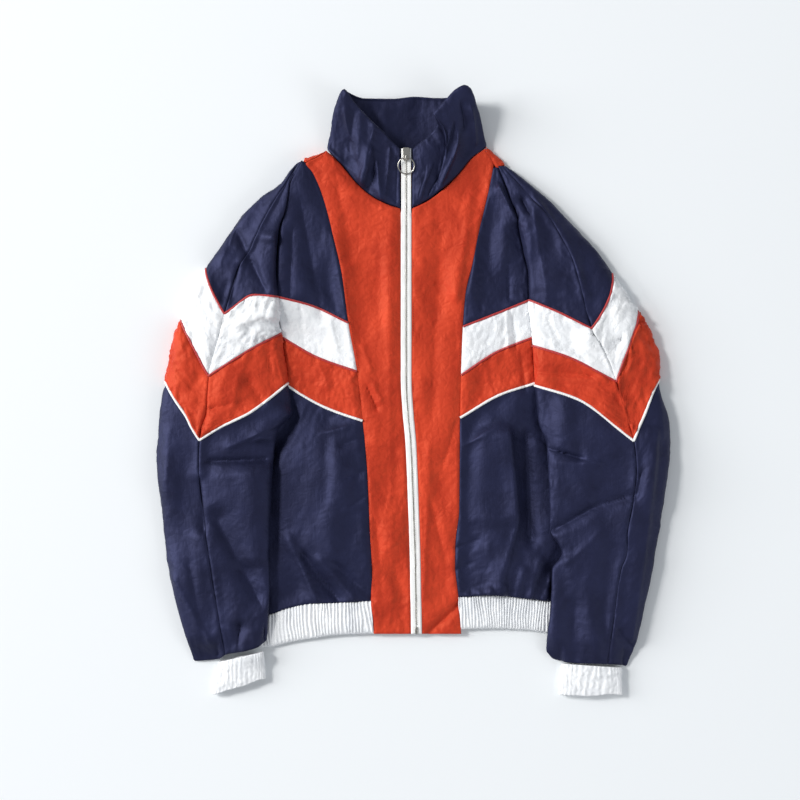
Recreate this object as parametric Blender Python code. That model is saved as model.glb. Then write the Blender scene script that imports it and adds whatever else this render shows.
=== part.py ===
"""Colour-blocked windbreaker jacket with a stand collar, zipped up and laid flat on its back.

Frame: metres, +Z up. The garment lies on z = 0 with its fronts up, +Y runs from hem to collar and
+X to the wearer's left. All tables are in millimetres and are scaled when a mesh is made. Side "r"
is the wearer's right, at -X, and side "l" the wearer's left, at +X.

Each cut piece is a wall: a grid of points on its outer face, set back from the seam lines, and the
same grid moved in by the cloth's thickness along the surface normals.
"""

import math

import bmesh
import bpy
import numpy as np

MM = 0.001
CLOTH = 1.2
ELASTIC = 1.3
LEAST_RISE = 0.3
SEAM = 0.2
CURVED_SEAM = 0.35
LONG_SEAM = 0.5
BACK_SEAM = 0.5

# Outer edge of the red centre front panel, from the shoulder seam down to the hem.
# y, x
PANEL_EDGE = {
    "r": ((327, -120), (319, -132), (311, -146), (299, -137), (266, -123), (213, -109), (160, -97),
          (92, -88), (31, -77), (-38, -69), (-101, -63), (-189, -59), (-248, -56), (-278, -58),
          (-328, -54)),
    "l": ((329, 98), (321, 105), (312, 109), (299, 107), (261, 99), (219, 89), (175, 80), (130, 70),
          (67, 66), (-37, 63), (-159, 62), (-204, 57), (-233, 56.5), (-278, 61), (-328, 65)),
}
# Neck seam of the fronts, from the shoulder point down to the zip.
# y, x
NECK = {
    "r": ((329, -118), (310, -99), (284, -77), (265, -54), (255, -33), (250, -17)),
    "l": ((334, 100), (319, 80), (290, 55), (261, 20), (254, 6), (250, -3)),
}
# Armhole seam, from the shoulder down to the underarm.
# y, x
ARMHOLE = {
    "r": ((315, -152), (300, -160), (284, -167), (266, -170), (246, -174), (222, -182), (196, -185),
          (169, -186), (130, -184), (79, -180), (24, -173), (13, -171)),
    "l": ((315, 112), (300, 118), (266, 131), (239, 141), (211, 146), (183, 152), (162, 156),
          (130, 157), (87, 160), (54, 163), (24, 164), (13, 165)),
}
# Side seam of the body, hidden under the sleeve, from the underarm to the hem.
# y, x
SIDE_SEAM = {
    "r": ((-20, -164), (-45, -177), (-60, -190), (-100, -224), (-140, -240), (-200, -246),
          (-260, -240), (-283, -236), (-350, -230)),
    "l": ((-41, 169), (-60, 173), (-75, 184), (-110, 205), (-150, 214), (-200, 216), (-260, 210),
          (-283, 206), (-350, 202)),
}
# Inner fold of the sleeve below the underarm, where it lies on the body.
# y, x
SLEEVE_INNER = {
    "r": ((-26, -165), (-50, -183), (-94, -191), (-171, -194), (-235, -196), (-301, -198),
          (-366, -202)),
    "l": ((-41, 171), (-71, 181), (-124, 184), (-186, 186), (-218, 201), (-240, 188), (-286, 187),
          (-336, 181), (-374, 180)),
}
# Sleeve sections: y, x of the outer fold, place of the overarm seam across the width, crown height.
SLEEVE = {
    "r": ((303, -165, 0.40, 15), (284, -180, 0.40, 18), (266, -207, 0.41, 21), (246, -228, 0.42, 24),
          (222, -245, 0.43, 26), (196, -263, 0.46, 28), (169, -282, 0.53, 30), (130, -302, 0.55, 31),
          (79, -323, 0.58, 31), (24, -335, 0.64, 31), (-26, -345, 0.64, 31), (-94, -349, 0.63, 30),
          (-171, -341, 0.61, 30), (-235, -334, 0.57, 27), (-301, -319, 0.55, 24),
          (-366, -299, 0.54, 20)),
    "l": ((303, 133, 0.55, 15), (284, 156, 0.56, 18), (266, 179, 0.57, 21), (239, 206, 0.65, 24),
          (211, 232, 0.62, 26), (183, 256, 0.59, 28), (162, 270, 0.56, 30), (140, 285, 0.54, 31),
          (111, 305, 0.51, 31), (87, 320, 0.50, 31), (54, 331, 0.57, 31), (12, 334, 0.65, 31),
          (-41, 347, 0.68, 31), (-76, 349, 0.70, 31), (-124, 343, 0.73, 30), (-195, 333, 0.69, 29),
          (-265, 320, 0.67, 26), (-331, 305, 0.70, 23), (-374, 290, 0.76, 20)),
}
# Chevron seams of a sleeve: y at the armhole, half-way to the overarm seam, at it, at the outer fold.
SLEEVE_LINES = {
    "r": {"upper": (130, 132, 107, 169), "middle": (81, 57, 23, 99), "lower": (13, -28, -64, 15)},
    "l": {"upper": (126, 109, 87, 162), "middle": (64, 47, 15, 111), "lower": (10, -10, -65, 18)},
}
# Chevron seams of a front: y at the centre front panel, half-way, at the armhole.
FRONT_LINES = {
    "r": {"upper": (95, 118, 130), "middle": (29, 47, 76), "lower": (-38, -19, 12)},
    "l": {"upper": (90, 108, 126), "middle": (24, 56, 75), "lower": (-34, -2, 14)},
}
# Chevron seams of the back: y at the right armhole, at the middle, at the left armhole.
BACK_LINES = {"upper": (130, 78, 126), "middle": (81, 30, 66), "lower": (13, -36, 13)}
# Top edge of a front yoke: y at the centre front panel, half-way, at the armhole.
YOKE_TOP = {"r": (310.5, 306, 301), "l": (311, 307, 302)}
CAP_TOP = {"r": 293, "l": 301}
BACK_YOKE_END = 280
# Bottom edge of a sleeve, along its width from the inner to the outer fold: share of width, y.
SLEEVE_END = {
    "r": ((0.0, -337), (0.1, -345), (0.3, -351), (0.54, -356), (0.66, -363), (1.0, -366)),
    "l": ((0.0, -352), (0.1, -363), (0.3, -367), (0.6, -368), (0.88, -370), (1.0, -373)),
}
# Cuff corners: the inner and outer ends of its top edge, then of its bottom edge, each x, y.
CUFF = {
    "r": ((-204, -351), (-265, -366), (-202, -388), (-273, -411)),
    "l": ((202, -368), (284, -373.5), (198, -411), (284, -411)),
}
CUFF_TOP_HEIGHT = 17
CUFF_END_HEIGHT = 14
CUFF_FOLD_HEIGHT = 7.5
CUFF_WAVES = 8
# Elasticated hem across the body: x, y of its top edge, y of its bottom edge.
HEM = ((-240, -311, -350), (-195, -302, -346), (-172, -294, -340), (-137, -287, -334),
       (-107, -286, -330), (-56, -283, -328), (5, -281, -328), (64, -278, -322), (108, -275, -321),
       (153, -280, -323), (183, -284, -327), (212, -287, -329))
HEM_FRONT_WAVES = 24
HEM_BACK_WAVES = 48
HEM_WAVE = 1.2
# Top edge of the back yoke, under the shoulder pieces and the collar's foot: x, y.
BACK_NECK = ((-160, 299), (-152, 304), (-136, 311), (-121, 319), (-108, 323), (-85, 318), (-45, 312),
             (-8, 310), (35, 312), (72, 320), (92, 327), (102, 324), (116, 300))
# Shoulder piece: x, y of its fold, of its front seam and of its back seam, neck end then armhole end.
SHOULDER = {
    "r": ((-119, 330, -120.5, 327.5, -122, 320), (-134, 323, -132.5, 319.5, -136.5, 312),
          (-155, 312, -152, 308, -156, 302)),
    "l": ((101, 334, 99.5, 330, 104, 325), (114, 322, 107, 319.5, 113, 315),
          (125, 310, 119.5, 304.5, 117, 301)),
}
SHOULDER_FOLD_HEIGHT = 6
# Stand collar from the zip round the neck to the zip: foot x, y, z, top edge x, y, z, and how far the
# section leans in x and z, two thirds of the way up, from the straight line between them. The front
# of the left side laps over itself in a soft pleat that opens towards the top edge.
COLLAR = (
    (-17.6, 250.6, 17.0, -17.6, 330, 22, 0, 0), (-34, 256, 16.8, -29, 341, 24, 0, 1),
    (-54, 265.6, 16.6, -41, 354, 27, 0, 2), (-77, 284.6, 15.6, -60, 371, 32, 0, 2),
    (-98, 310.6, 14.2, -80, 392, 38, -3, 2), (-112, 325, 12.6, -90, 406, 42, -4, 2),
    (-117, 331, 8.0, -94, 409, 41, -5, 0), (-109, 325, 1.5, -86, 405, 30, -3, -4),
    (-84, 318.6, 0.4, -66, 401, 10, 0, -2), (-45, 312.6, 0.4, -30, 401, 5, 0, 0),
    (-8, 310.6, 0.4, 2, 404, 4, 0, 0), (35, 312.6, 0.4, 32, 402, 5, 0, 0),
    (72, 320.6, 0.4, 54, 402, 12, 0, -2), (92, 330, 1.5, 68, 408, 34, 2, -4),
    (99.5, 335, 8.0, 75, 411, 43, 3, 0), (95, 331, 12.8, 68, 413, 48, 3, 2),
    (80, 319.8, 13.8, 56, 407, 49, 4, 3), (61, 296.6, 15.0, 44, 395, 48, 8, 4),
    (46, 282.8, 15.8, 34, 384, 47, 12, 4), (35, 274, 16.0, 26, 374, 46, 15, 3),
    (29, 269, 16.2, 31, 364, 34, 15, -6), (23, 264.2, 16.4, 25, 352, 26, 9, -3),
    (16, 260, 16.6, 17, 345, 25, 2, 0), (7, 255, 16.8, 8, 339, 24, 0, 0),
    (-2.4, 251.2, 17.0, -2.4, 330, 22, 0, 0),
)
# Height of the fronts: y, at the body's side edge, along the middle.
FRONT_HEIGHT = ((335, 12, 13), (311, 12, 14.5), (250, 12, 17), (100, 11, 16), (13, 11, 15.5),
                (0, 8, 15.5), (-20, 5, 15), (-45, 3.6, 15), (-200, 3.6, 15), (-283, 3.6, 13),
                (-335, 3.6, 11))
SIDE_RUN = 45
# Largest folds of the fronts and of the sleeves: start x, y, end x, y, height, half width.
FRONT_FOLDS = (
    (-150, -60, -105, -250, 4.0, 34), (-166, -190, -96, -276, 3.0, 9),
    (-150, -215, -112, -268, 2.5, 7), (-66, 12, -46, -24, 1.6, 8), (22, -284, 60, -316, 2.0, 9),
    (150, -60, 128, -265, -3.5, 13), (118, -50, 98, -262, 3.5, 15), (112, 285, 132, 215, 2.5, 9),
    (-110, 240, -124, 150, 2.0, 10),
)
SLEEVE_FOLDS = (
    (-286, -92, -214, -92, -4.0, 10), (-270, -110, -222, -225, 4.0, 20),
    (-238, -288, -206, -334, 3.0, 9), (-325, -228, -284, -345, -4.0, 9),
    (-232, 230, -205, 160, 3.0, 12), (-262, 150, -220, 178, -3.0, 9),
    (192, -186, 296, -138, -4.0, 9), (176, -66, 214, -104, -4.0, 9), (262, -110, 240, -320, 3.5, 16),
    (150, 262, 214, 150, 3.0, 12), (296, 60, 320, 20, -2.5, 9), (314, -110, 300, -280, -3.5, 9),
)
# The body's edge lifts the underside of the sleeve that lies on it.
LAYER_GAP = 1.5
UNDER_RAMP = 16
UNDERARM_TOP = {"r": -14, "l": -24}
UNDERARM_RUN = 32
HEM_CORNER = -378
HEM_CORNER_RUN = 27
SLEEVE_FOLD_HEIGHT = 9
UNDERARM_SEAM = 0.33
OVERARM_TURN = 0.6
ARMHOLE_LAP = 0.06
END_RUN = 36
CORNER_HEIGHT = 5.2
CROWN_POWER = 0.7
# Below this line a sleeve isn't sewn to the body any more, and its inner fold comes free in a run.
FREE_FOLD = -4
FREE_RUN = 14
# How fast an underside settles on the floor from a fold.
PRESS = 1.15
# Foot of the collar at the zip, seam of the hem, its middle, and the sleeve's end, as y.
NECK_FOOT = 250
HEM_SEAM = -290.0
HEM_MIDDLE = -305.0
SLEEVE_FOOT = -350.0
# A section's lean is v * v * (1 - v), which peaks two thirds of the way up at 1 / LEAN_SCALE.
LEAN_SCALE = 6.75

# Zip line down the centre front: y, x.
ZIP_LINE = ((334, -10), (18, -10), (-26, -7.5), (-71, -3.5), (-129, -1), (-233, 2.5), (-328, 4))
ZIP_OPENING = 7.3
TAPE = (2.3, 7.0)
TAPE_THICK = 1.0
TAPE_RISE = 0.2
TAPE_TOP = 331
TEETH_HALF = 2.0
TEETH_RISE = 1.6
TEETH_THICK = 2.2
ZIP_TOP_HEIGHT = 22
ZIP_END = -328
TEETH_END = -317
TEETH_TOP = 319
BOX_SIZE = (4.0, 9.5, 3.6)
BOX_DEPTH = 1.0

SLIDER_Y = (314, 332)
SLIDER_HALF = 5.6
SLIDER_PLATE = (24.3, 25.8)
SLIDER_FLANGE = 1.0
FLANGE_FOOT = 23.0
LUG_Y = (314.6, 322.4)
LUG_WALL = 1.2
LUG_HALF = 1.5
LUG_ROOM = 3.3
RING_AXIS = (-10.0, 318.2, 27.5)
RING_RADIUS = 11.1
RING_WIRE = 0.9
RING_TILT = 12.5

FRONT_COLUMNS = 10
PIPING_HALF = 1.3
PIPING_LIFT = 0.4
PIPING_THICK = 0.9
PIPING_SLANT = 0.45

# sRGB colour, roughness, metallic.
FINISHES = {
    "navy_nylon": ((0.17, 0.17, 0.32), 0.45, 0.0),
    "red_nylon": ((0.79, 0.25, 0.18), 0.5, 0.0),
    "white_nylon": ((0.93, 0.94, 0.95), 0.55, 0.0),
    "red_piping": ((0.72, 0.20, 0.18), 0.5, 0.0),
    "white_piping": ((0.95, 0.95, 0.95), 0.5, 0.0),
    "zip_tape": ((0.91, 0.91, 0.90), 0.7, 0.0),
    "nickel": ((0.72, 0.71, 0.68), 0.28, 1.0),
}


def smooth(rows, column=1):
    """Monotone cubic curve through a table: a column's value against the first column."""
    table = np.array(sorted(rows), dtype=float)
    at = table[:, 0]
    value = table[:, column]
    step = np.diff(at)
    slope = np.diff(value) / step
    tangent = np.concatenate(([slope[0]], np.zeros(len(slope) - 1), [slope[-1]]))
    before = slope[:-1]
    after = slope[1:]
    turning = before * after <= 0
    total = np.where(turning, 1.0, before + after)
    tangent[1:-1] = np.where(turning, 0.0, 2 * before * after / total)

    def read(place):
        place = np.clip(place, at[0], at[-1])
        k = np.clip(np.searchsorted(at, place) - 1, 0, len(step) - 1)
        t = (place - at[k]) / step[k]
        rest = 1 - t
        ends = value[k] * rest * rest * (1 + 2 * t) + value[k + 1] * t * t * (3 - 2 * t)
        return ends + step[k] * t * rest * (tangent[k] * rest - tangent[k + 1] * t)

    return read


def ease(t):
    """Smooth step from 0 to 1."""
    t = np.clip(t, 0, 1)
    return t * t * (3 - 2 * t)


def mix(a, b, t):
    """Straight blend from a to b."""
    return a + (b - a) * t


SIGN = {"r": -1, "l": 1}
panel_edge = {side: smooth(PANEL_EDGE[side]) for side in SIGN}
neck = {side: smooth(NECK[side]) for side in SIGN}
body_side = {side: smooth(ARMHOLE[side] + SIDE_SEAM[side]) for side in SIGN}
sleeve_inner = {side: smooth(ARMHOLE[side] + SLEEVE_INNER[side]) for side in SIGN}
sleeve_outer = {side: smooth(SLEEVE[side], 1) for side in SIGN}
sleeve_seam = {side: smooth(SLEEVE[side], 2) for side in SIGN}
sleeve_crown = {side: smooth(SLEEVE[side], 3) for side in SIGN}
sleeve_end = {side: smooth(SLEEVE_END[side]) for side in SIGN}
hem_top = smooth(HEM, 1)
hem_bottom = smooth(HEM, 2)
back_neck = smooth(BACK_NECK)
edge_height = smooth(FRONT_HEIGHT, 1)
middle_height = smooth(FRONT_HEIGHT, 2)
zip_line = smooth(ZIP_LINE)


def relief(folds, x, y):
    """Height of the large folds: each a ridge or trough along a line, dying out at its ends."""
    height = np.zeros(np.broadcast(x, y).shape)
    for x0, y0, x1, y1, rise, width in folds:
        length = math.hypot(x1 - x0, y1 - y0)
        along = ((x - x0) * (x1 - x0) + (y - y0) * (y1 - y0)) / length
        across = ((y - y0) * (x1 - x0) - (x - x0) * (y1 - y0)) / length
        ends = ease(along / width) * ease((length - along) / width)
        height = height + rise * ends * np.exp(-(across / width) ** 2)
    return height


def front_plain(x, y):
    """Height of the fronts without folds: level over the chest, lower towards each side."""
    right = 1 - np.exp(-np.maximum(x - body_side["r"](y), 0) / SIDE_RUN)
    left = 1 - np.exp(-np.maximum(body_side["l"](y) - x, 0) / SIDE_RUN)
    return mix(edge_height(y), middle_height(y), right * left)


def front_height(x, y):
    """Height of the fronts' outer face."""
    return front_plain(x, y) + relief(FRONT_FOLDS, x, y)


def under_height(side, x, y):
    """Height of the surface that a sleeve lies on: the body near its edge, else the floor."""
    inside = -SIGN[side] * (x - body_side[side](y))
    over = front_plain(x, y) + LAYER_GAP
    share = ease(1 + inside / UNDER_RAMP)
    share = share * ease((UNDERARM_TOP[side] - y) / UNDERARM_RUN)
    return over * share * ease((y - HEM_CORNER) / HEM_CORNER_RUN)


def sleeve_x(side, r, y):
    """x of a point at share r of the sleeve's width."""
    return mix(sleeve_inner[side](y), sleeve_outer[side](y), r)


def station(turn):
    """Place round the sleeve for a turn of the section: 0 inner fold, 1 overarm seam, 2 outer fold,
    3 inner fold again along the underside, and below 0 the underside next to the inner fold."""
    r = (1 - np.cos(np.pi * turn)) / 2
    seam = (1 - math.cos(math.pi * OVERARM_TURN)) / 2
    top = np.where(turn < OVERARM_TURN, r / seam, 1 + (r - seam) / (1 - seam))
    return np.where(turn < 0, -r / UNDERARM_SEAM, np.where(turn > 1, 3 - r, top))


def width_share(side, place, y):
    """Share of the sleeve's width at a place round it."""
    seam = sleeve_seam[side](y)
    top = np.where(place < 1, place * seam, seam + (place - 1) * (1 - seam))
    return np.where(place < 0, -place * UNDERARM_SEAM, np.where(place > 2, 3 - place, top))


def end_height(side, x, low, flat, is_top):
    """Height at the sleeve's end: as thick as the cuff where it joins, pressed flat beside it."""
    inner, outer = CUFF[side][0][0], CUFF[side][1][0]
    share = np.clip((x - inner) / (outer - inner), 0, 1)
    swell = 2 * np.sqrt(share * (1 - share))
    rise = (CUFF_TOP_HEIGHT - CORNER_HEIGHT) * swell ** CROWN_POWER
    fold = low + CORNER_HEIGHT / 2
    return np.where(is_top, mix(fold, low + CORNER_HEIGHT, flat) + rise, mix(fold, low, flat))


def sleeve_point(side, place, y):
    """Point on the sleeve's outer face, from its place round the sleeve and its y."""
    r = width_share(side, place, y)
    x = sleeve_x(side, r, y)
    swell = 2 * np.sqrt(np.clip(r * (1 - r), 0, 0.25))
    low = under_height(side, x, y)
    sewn = ease((y - FREE_FOLD) / FREE_RUN)
    fold = under_height(side, sleeve_inner[side](y), y) + SLEEVE_FOLD_HEIGHT - 2
    inner = mix(fold, edge_height(y), sewn)
    edge = mix(inner, SLEEVE_FOLD_HEIGHT, r)
    crown = sleeve_crown[side](y)
    top = edge + (crown - edge + relief(SLEEVE_FOLDS, x, y)) * swell ** CROWN_POWER
    flat = np.clip(PRESS * np.sqrt(swell), 0, 1)
    under_edge = mix(mix(inner, low, sewn), SLEEVE_FOLD_HEIGHT, r)
    under = mix(under_edge, low, flat)
    is_top = (place >= 0) & (place <= 2)
    closing = ease((y - sleeve_end[side](r)) / END_RUN)
    z = mix(end_height(side, x, low, flat, is_top), np.where(is_top, top, under), closing)
    return np.stack(np.broadcast_arrays(x, y, z), axis=-1)


def sleeve_line(side, name, place):
    """y of a chevron seam, or of the sleeve's top or bottom edge, at a place round the sleeve."""
    if name == "top":
        return CAP_TOP[side] + 0 * place
    if name == "end":
        r = width_share(side, place, SLEEVE_FOOT)
        return sleeve_end[side](r)
    armhole, half, apex, outer = SLEEVE_LINES[side][name]
    front = smooth(((0, armhole), (0.5, half), (1, apex)))(place)
    back = mix(apex, outer, place - 1)
    r = width_share(side, place, apex)
    under = mix(armhole, outer, r)
    return np.where((place < 0) | (place > 2), under, np.where(place < 1, front, back))


def cuff_point(side, r, is_top, v):
    """Point on the cuff's outer face, v down from the sleeve, with its gathers."""
    in_top, out_top, in_end, out_end = (np.array(corner, float) for corner in CUFF[side])
    v = np.asarray(v, float)[..., None]
    inner = mix(in_top, in_end, v)
    outer = mix(out_top, out_end, v)
    plan = mix(inner, outer, r[..., None])
    swell = 2 * np.sqrt(np.clip(r * (1 - r), 0, 0.25))
    phase = 2 * np.pi * CUFF_WAVES * np.arccos(1 - 2 * np.clip(r, 0, 1)) / np.pi
    wave = HEM_WAVE * swell * np.cos(phase)
    low = under_height(side, plan[..., 0], plan[..., 1])
    crown = low + mix(CUFF_TOP_HEIGHT, CUFF_END_HEIGHT, v[..., 0])
    edge = low + CUFF_FOLD_HEIGHT
    top = edge + (crown - edge) * swell ** CROWN_POWER + wave
    flat = np.clip(PRESS * np.sqrt(swell), 0, 1)
    under = mix(edge, low, flat) + HEM_WAVE * swell * (1 - np.cos(phase)) * 0.5
    z = np.where(is_top, top, under)
    return np.concatenate([plan, z[..., None]], axis=-1)


def grid_normals(grid, ring):
    """Unit normals of a grid of points; the first direction closes on itself for a ring."""
    if ring:
        along = np.roll(grid, -1, axis=0) - np.roll(grid, 1, axis=0)
    else:
        along = np.gradient(grid, axis=0, edge_order=2 if grid.shape[0] > 2 else 1)
    down = np.gradient(grid, axis=1, edge_order=2 if grid.shape[1] > 2 else 1)
    normal = np.cross(along, down)
    return normal / np.linalg.norm(normal, axis=-1, keepdims=True)


def set_back(grid, gap, ring):
    """Move the border of a grid in from the seam line."""
    grid = grid.copy()
    for axis in ((1,) if ring else (0, 1)):
        rows = np.moveaxis(grid, axis, 0)
        for edge, inward in ((0, 1), (-1, -2)):
            step = rows[inward] - rows[edge]
            length = np.linalg.norm(step, axis=-1, keepdims=True)
            rows[edge] += step * np.minimum(gap / length, 0.4)
    return grid


def make_object(name, points, faces, material):
    """Object from points in millimetres and faces, closed and facing out."""
    mesh = bpy.data.meshes.new(name)
    mesh.from_pydata((np.asarray(points) * MM).tolist(), [], faces)
    shell = bmesh.new()
    shell.from_mesh(mesh)
    bmesh.ops.recalc_face_normals(shell, faces=shell.faces)
    shell.to_mesh(mesh)
    shell.free()
    mesh.shade_smooth()
    mesh.set_sharp_from_angle(angle=math.radians(40))
    piece = bpy.data.objects.new(name, mesh)
    mesh.materials.append(material)
    bpy.context.scene.collection.objects.link(piece)
    return piece


def wall(name, grid, material, thick=CLOTH, flip=False, ring=False, gap=SEAM, level=False):
    """Closed wall below a grid of outer points; flip turns the outer side over, and a level wall
    has its thickness straight up and down."""
    grid = set_back(grid, gap, ring)
    normal = grid_normals(grid, ring)
    if flip:
        normal = -normal
    if level:
        normal = np.sign(normal[len(normal) // 2, 0, 2]) * np.array([0.0, 0.0, 1.0])
    inner = grid - normal * thick
    inner[..., 2] = np.maximum(inner[..., 2], LEAST_RISE)
    count, rows = grid.shape[:2]
    points = np.concatenate([grid.reshape(-1, 3), inner.reshape(-1, 3)])
    below = count * rows
    faces = []
    last = count if ring else count - 1
    for i in range(last):
        k = (i + 1) % count
        for j in range(rows - 1):
            quad = (i * rows + j, k * rows + j, k * rows + j + 1, i * rows + j + 1)
            faces.append(quad)
            faces.append(tuple(below + n for n in reversed(quad)))
        for j in (0, rows - 1):
            faces.append((i * rows + j, k * rows + j, below + k * rows + j, below + i * rows + j))
    for i in (() if ring else (0, count - 1)):
        for j in range(rows - 1):
            a = i * rows + j
            faces.append((a, a + 1, below + a + 1, below + a))
    return make_object(name, points, faces, material)


def front_line(side, name, s):
    """y of a seam across a front; s runs from the centre front panel to the side."""
    if name == "top":
        near, half, far = YOKE_TOP[side]
    elif name == "hem":
        return hem_top(front_x(side, s, HEM_SEAM)) + LONG_SEAM
    else:
        near, half, far = FRONT_LINES[side][name]
    return smooth(((0, near), (0.5, half), (1, far)))(s)


def front_x(side, s, y):
    """x across a front, from the centre front panel to the body's side."""
    return mix(panel_edge[side](y) + SIGN[side] * LONG_SEAM, body_side[side](y), s)


def front_grid(side, upper, lower, columns, rows):
    """Outer face of a front piece between two seams."""
    s = np.linspace(0, 1, columns + 1)[:, None]
    v = np.linspace(0, 1, rows + 1)[None, :]
    y = mix(front_line(side, upper, s), front_line(side, lower, s), v)
    x = front_x(side, s, y)
    return np.stack([x, y, front_height(x, y)], axis=-1)


def centre_front_grid(side, columns, rows_above, rows_below):
    """Outer face of a centre front panel: its inner edge is the neck seam, then the zip."""
    above = np.linspace(NECK[side][0][0] - 3, NECK_FOOT, rows_above + 1)
    below = np.linspace(NECK_FOOT, HEM_SEAM, rows_below)[1:]
    y = np.concatenate([above, below, (ZIP_END,)])[None, :]
    zip_edge = zip_line(y) + SIGN[side] * ZIP_OPENING
    inner = np.where(y > NECK_FOOT, neck[side](y), zip_edge)
    s = np.linspace(0, 1, columns + 1)[:, None]
    x = mix(inner, panel_edge[side](y), s)
    y = y + 0 * s
    return np.stack([x, y, front_height(x, y)], axis=-1)


def back_grid(upper, lower, columns, rows):
    """Outer face of a back piece, flat on the floor, between two lines read at the shares s."""
    s = np.linspace(0, 1, columns + 1)[:, None]
    v = np.linspace(0, 1, rows + 1)[None, :]
    y = mix(upper(s), lower(s), v)
    x = mix(body_side["r"](y) + BACK_SEAM, body_side["l"](y) - BACK_SEAM, s)
    return np.stack([x, y, 0 * x], axis=-1)


def back_yoke_grid(columns):
    """Outer face of the back yoke, from the neck and shoulders down to a level seam."""
    s = np.linspace(0, 1, columns + 1)[:, None]
    v = np.linspace(0, 1, 3)[None, :]
    inset = 2 * BACK_SEAM
    top_x = mix(BACK_NECK[0][0] + inset, BACK_NECK[-1][0], s)
    low_x = mix(body_side["r"](BACK_YOKE_END) + inset, body_side["l"](BACK_YOKE_END) - inset, s)
    x = mix(top_x, low_x, v)
    y = mix(back_neck(top_x), BACK_YOKE_END, v)
    return np.stack([x, y, 0 * x], axis=-1)


def back_line(name):
    """A chevron seam of the back as a function of the share across it."""
    right, middle, left = BACK_LINES[name]
    return lambda s: np.where(s < 0.5, mix(right, middle, 2 * s), mix(middle, left, 2 * s - 1))


def section_turns(half, under):
    """Turns of the columns round a half sleeve; under is how far a closed tube laps below."""
    if half == "front":
        lap = np.linspace(-under, 0, 5)[:-1] if under else np.zeros(0)
        return np.concatenate([lap, np.linspace(0, OVERARM_TURN, 8)])
    end = 2 - (under or ARMHOLE_LAP)
    return np.concatenate([np.linspace(OVERARM_TURN, 1, 5), np.linspace(1, end, 8)[1:]])


def sleeve_grid(side, half, upper, lower, rows):
    """Outer face of one half of a sleeve's piece between two seams."""
    tube = lower == "end"
    under = math.acos(1 - 2 * UNDERARM_SEAM) / math.pi
    place = station(section_turns(half, under if tube else 0))[:, None]
    v = np.linspace(0, 1, rows + 1)[None, :]
    y = mix(sleeve_line(side, upper, place), sleeve_line(side, lower, place), v)
    return sleeve_point(side, place, y)


def cuff_grid(side, rows):
    """Outer face of a cuff, once round: over the top from inner to outer fold and back below."""
    samples = 2 * CUFF_WAVES
    turn = np.linspace(0, 2, 2 * samples + 1)[:-1, None]
    r = (1 - np.cos(np.pi * turn)) / 2
    v = np.linspace(0, 1, rows + 1)[None, :]
    r, v, turn = np.broadcast_arrays(r, v, turn)
    return cuff_point(side, r, turn <= 1, v)


def hem_front_grid(side, rows):
    """Outer face of a front hem piece with its gathers."""
    s = np.linspace(0, 1, 2 * HEM_FRONT_WAVES + 1)[:, None]
    v = np.linspace(0, 1, rows + 1)[None, :]
    x = front_x(side, s, HEM_MIDDLE)
    y = mix(hem_top(x), hem_bottom(x), v)
    x = front_x(side, s, y)
    wave = HEM_WAVE * np.cos(2 * np.pi * HEM_FRONT_WAVES * s) * (1 - 0.85 * ease(4 * s - 3))
    return np.stack([x, y, front_height(x, y) + wave], axis=-1)


def hem_back_grid(rows):
    """Outer face of the back hem: its gathers lift off the floor."""
    s = np.linspace(0, 1, 2 * HEM_BACK_WAVES + 1)[:, None]
    v = np.linspace(0, 1, rows + 1)[None, :]
    x = mix(body_side["r"](HEM_MIDDLE), body_side["l"](HEM_MIDDLE), s)
    y = mix(hem_top(x), hem_bottom(x), v)
    x = mix(body_side["r"](y), body_side["l"](y), s)
    wave = HEM_WAVE * 0.4 * (1 - np.cos(2 * np.pi * HEM_BACK_WAVES * s))
    return np.stack([x, y, wave + 0 * y], axis=-1)


def shoulder_grid(side, columns, turns):
    """Outer face of a shoulder piece: front seam, over the fold, back seam on the floor."""
    at = np.linspace(0, 1, columns + 1)
    ends = [smooth(tuple(zip((0, 0.5, 1), column)))(at) for column in zip(*SHOULDER[side])]
    fold = np.stack(ends[0:2], axis=-1)[:, None]
    front = np.stack(ends[2:4], axis=-1)[:, None]
    back = np.stack(ends[4:6], axis=-1)[:, None]
    angle = np.pi * np.linspace(0, 1, turns + 1)[None, :, None]
    start = np.where(angle <= np.pi / 2, front, back)
    plan = mix(start, fold, np.sin(angle))
    high = front_height(front[..., 0], front[..., 1])[..., None]
    rise = np.where(angle <= np.pi / 2, high - SHOULDER_FOLD_HEIGHT, SHOULDER_FOLD_HEIGHT)
    z = SHOULDER_FOLD_HEIGHT + rise * np.cos(angle)
    return np.concatenate([plan, z], axis=-1)


def collar_grid(per_section, rows):
    """Outer face of the stand collar: sections blended along the neck, each leaning at mid-height."""
    table = np.array(COLLAR, float)
    index = np.arange(len(table))
    at = np.linspace(0, index[-1], per_section * index[-1] + 1)
    value = [smooth(np.stack([index, column], axis=1).tolist())(at) for column in table.T]
    foot = np.stack(value[0:3], axis=-1)[:, None]
    top = np.stack(value[3:6], axis=-1)[:, None]
    lean = np.stack([value[6], 0 * at, value[7]], axis=-1)[:, None]
    v = np.linspace(0, 1, rows + 1)[None, :, None]
    return mix(foot, top, v) + lean * LEAN_SCALE * v * v * (1 - v)


def zip_height(y):
    """Height of the zip line: on the fronts, then up along the collar."""
    on_front = front_height(zip_line(y), np.minimum(y, NECK_FOOT))
    top = ZIP_LINE[0][0]
    return mix(on_front, ZIP_TOP_HEIGHT, np.clip((y - NECK_FOOT) / (top - NECK_FOOT), 0, 1))


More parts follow.
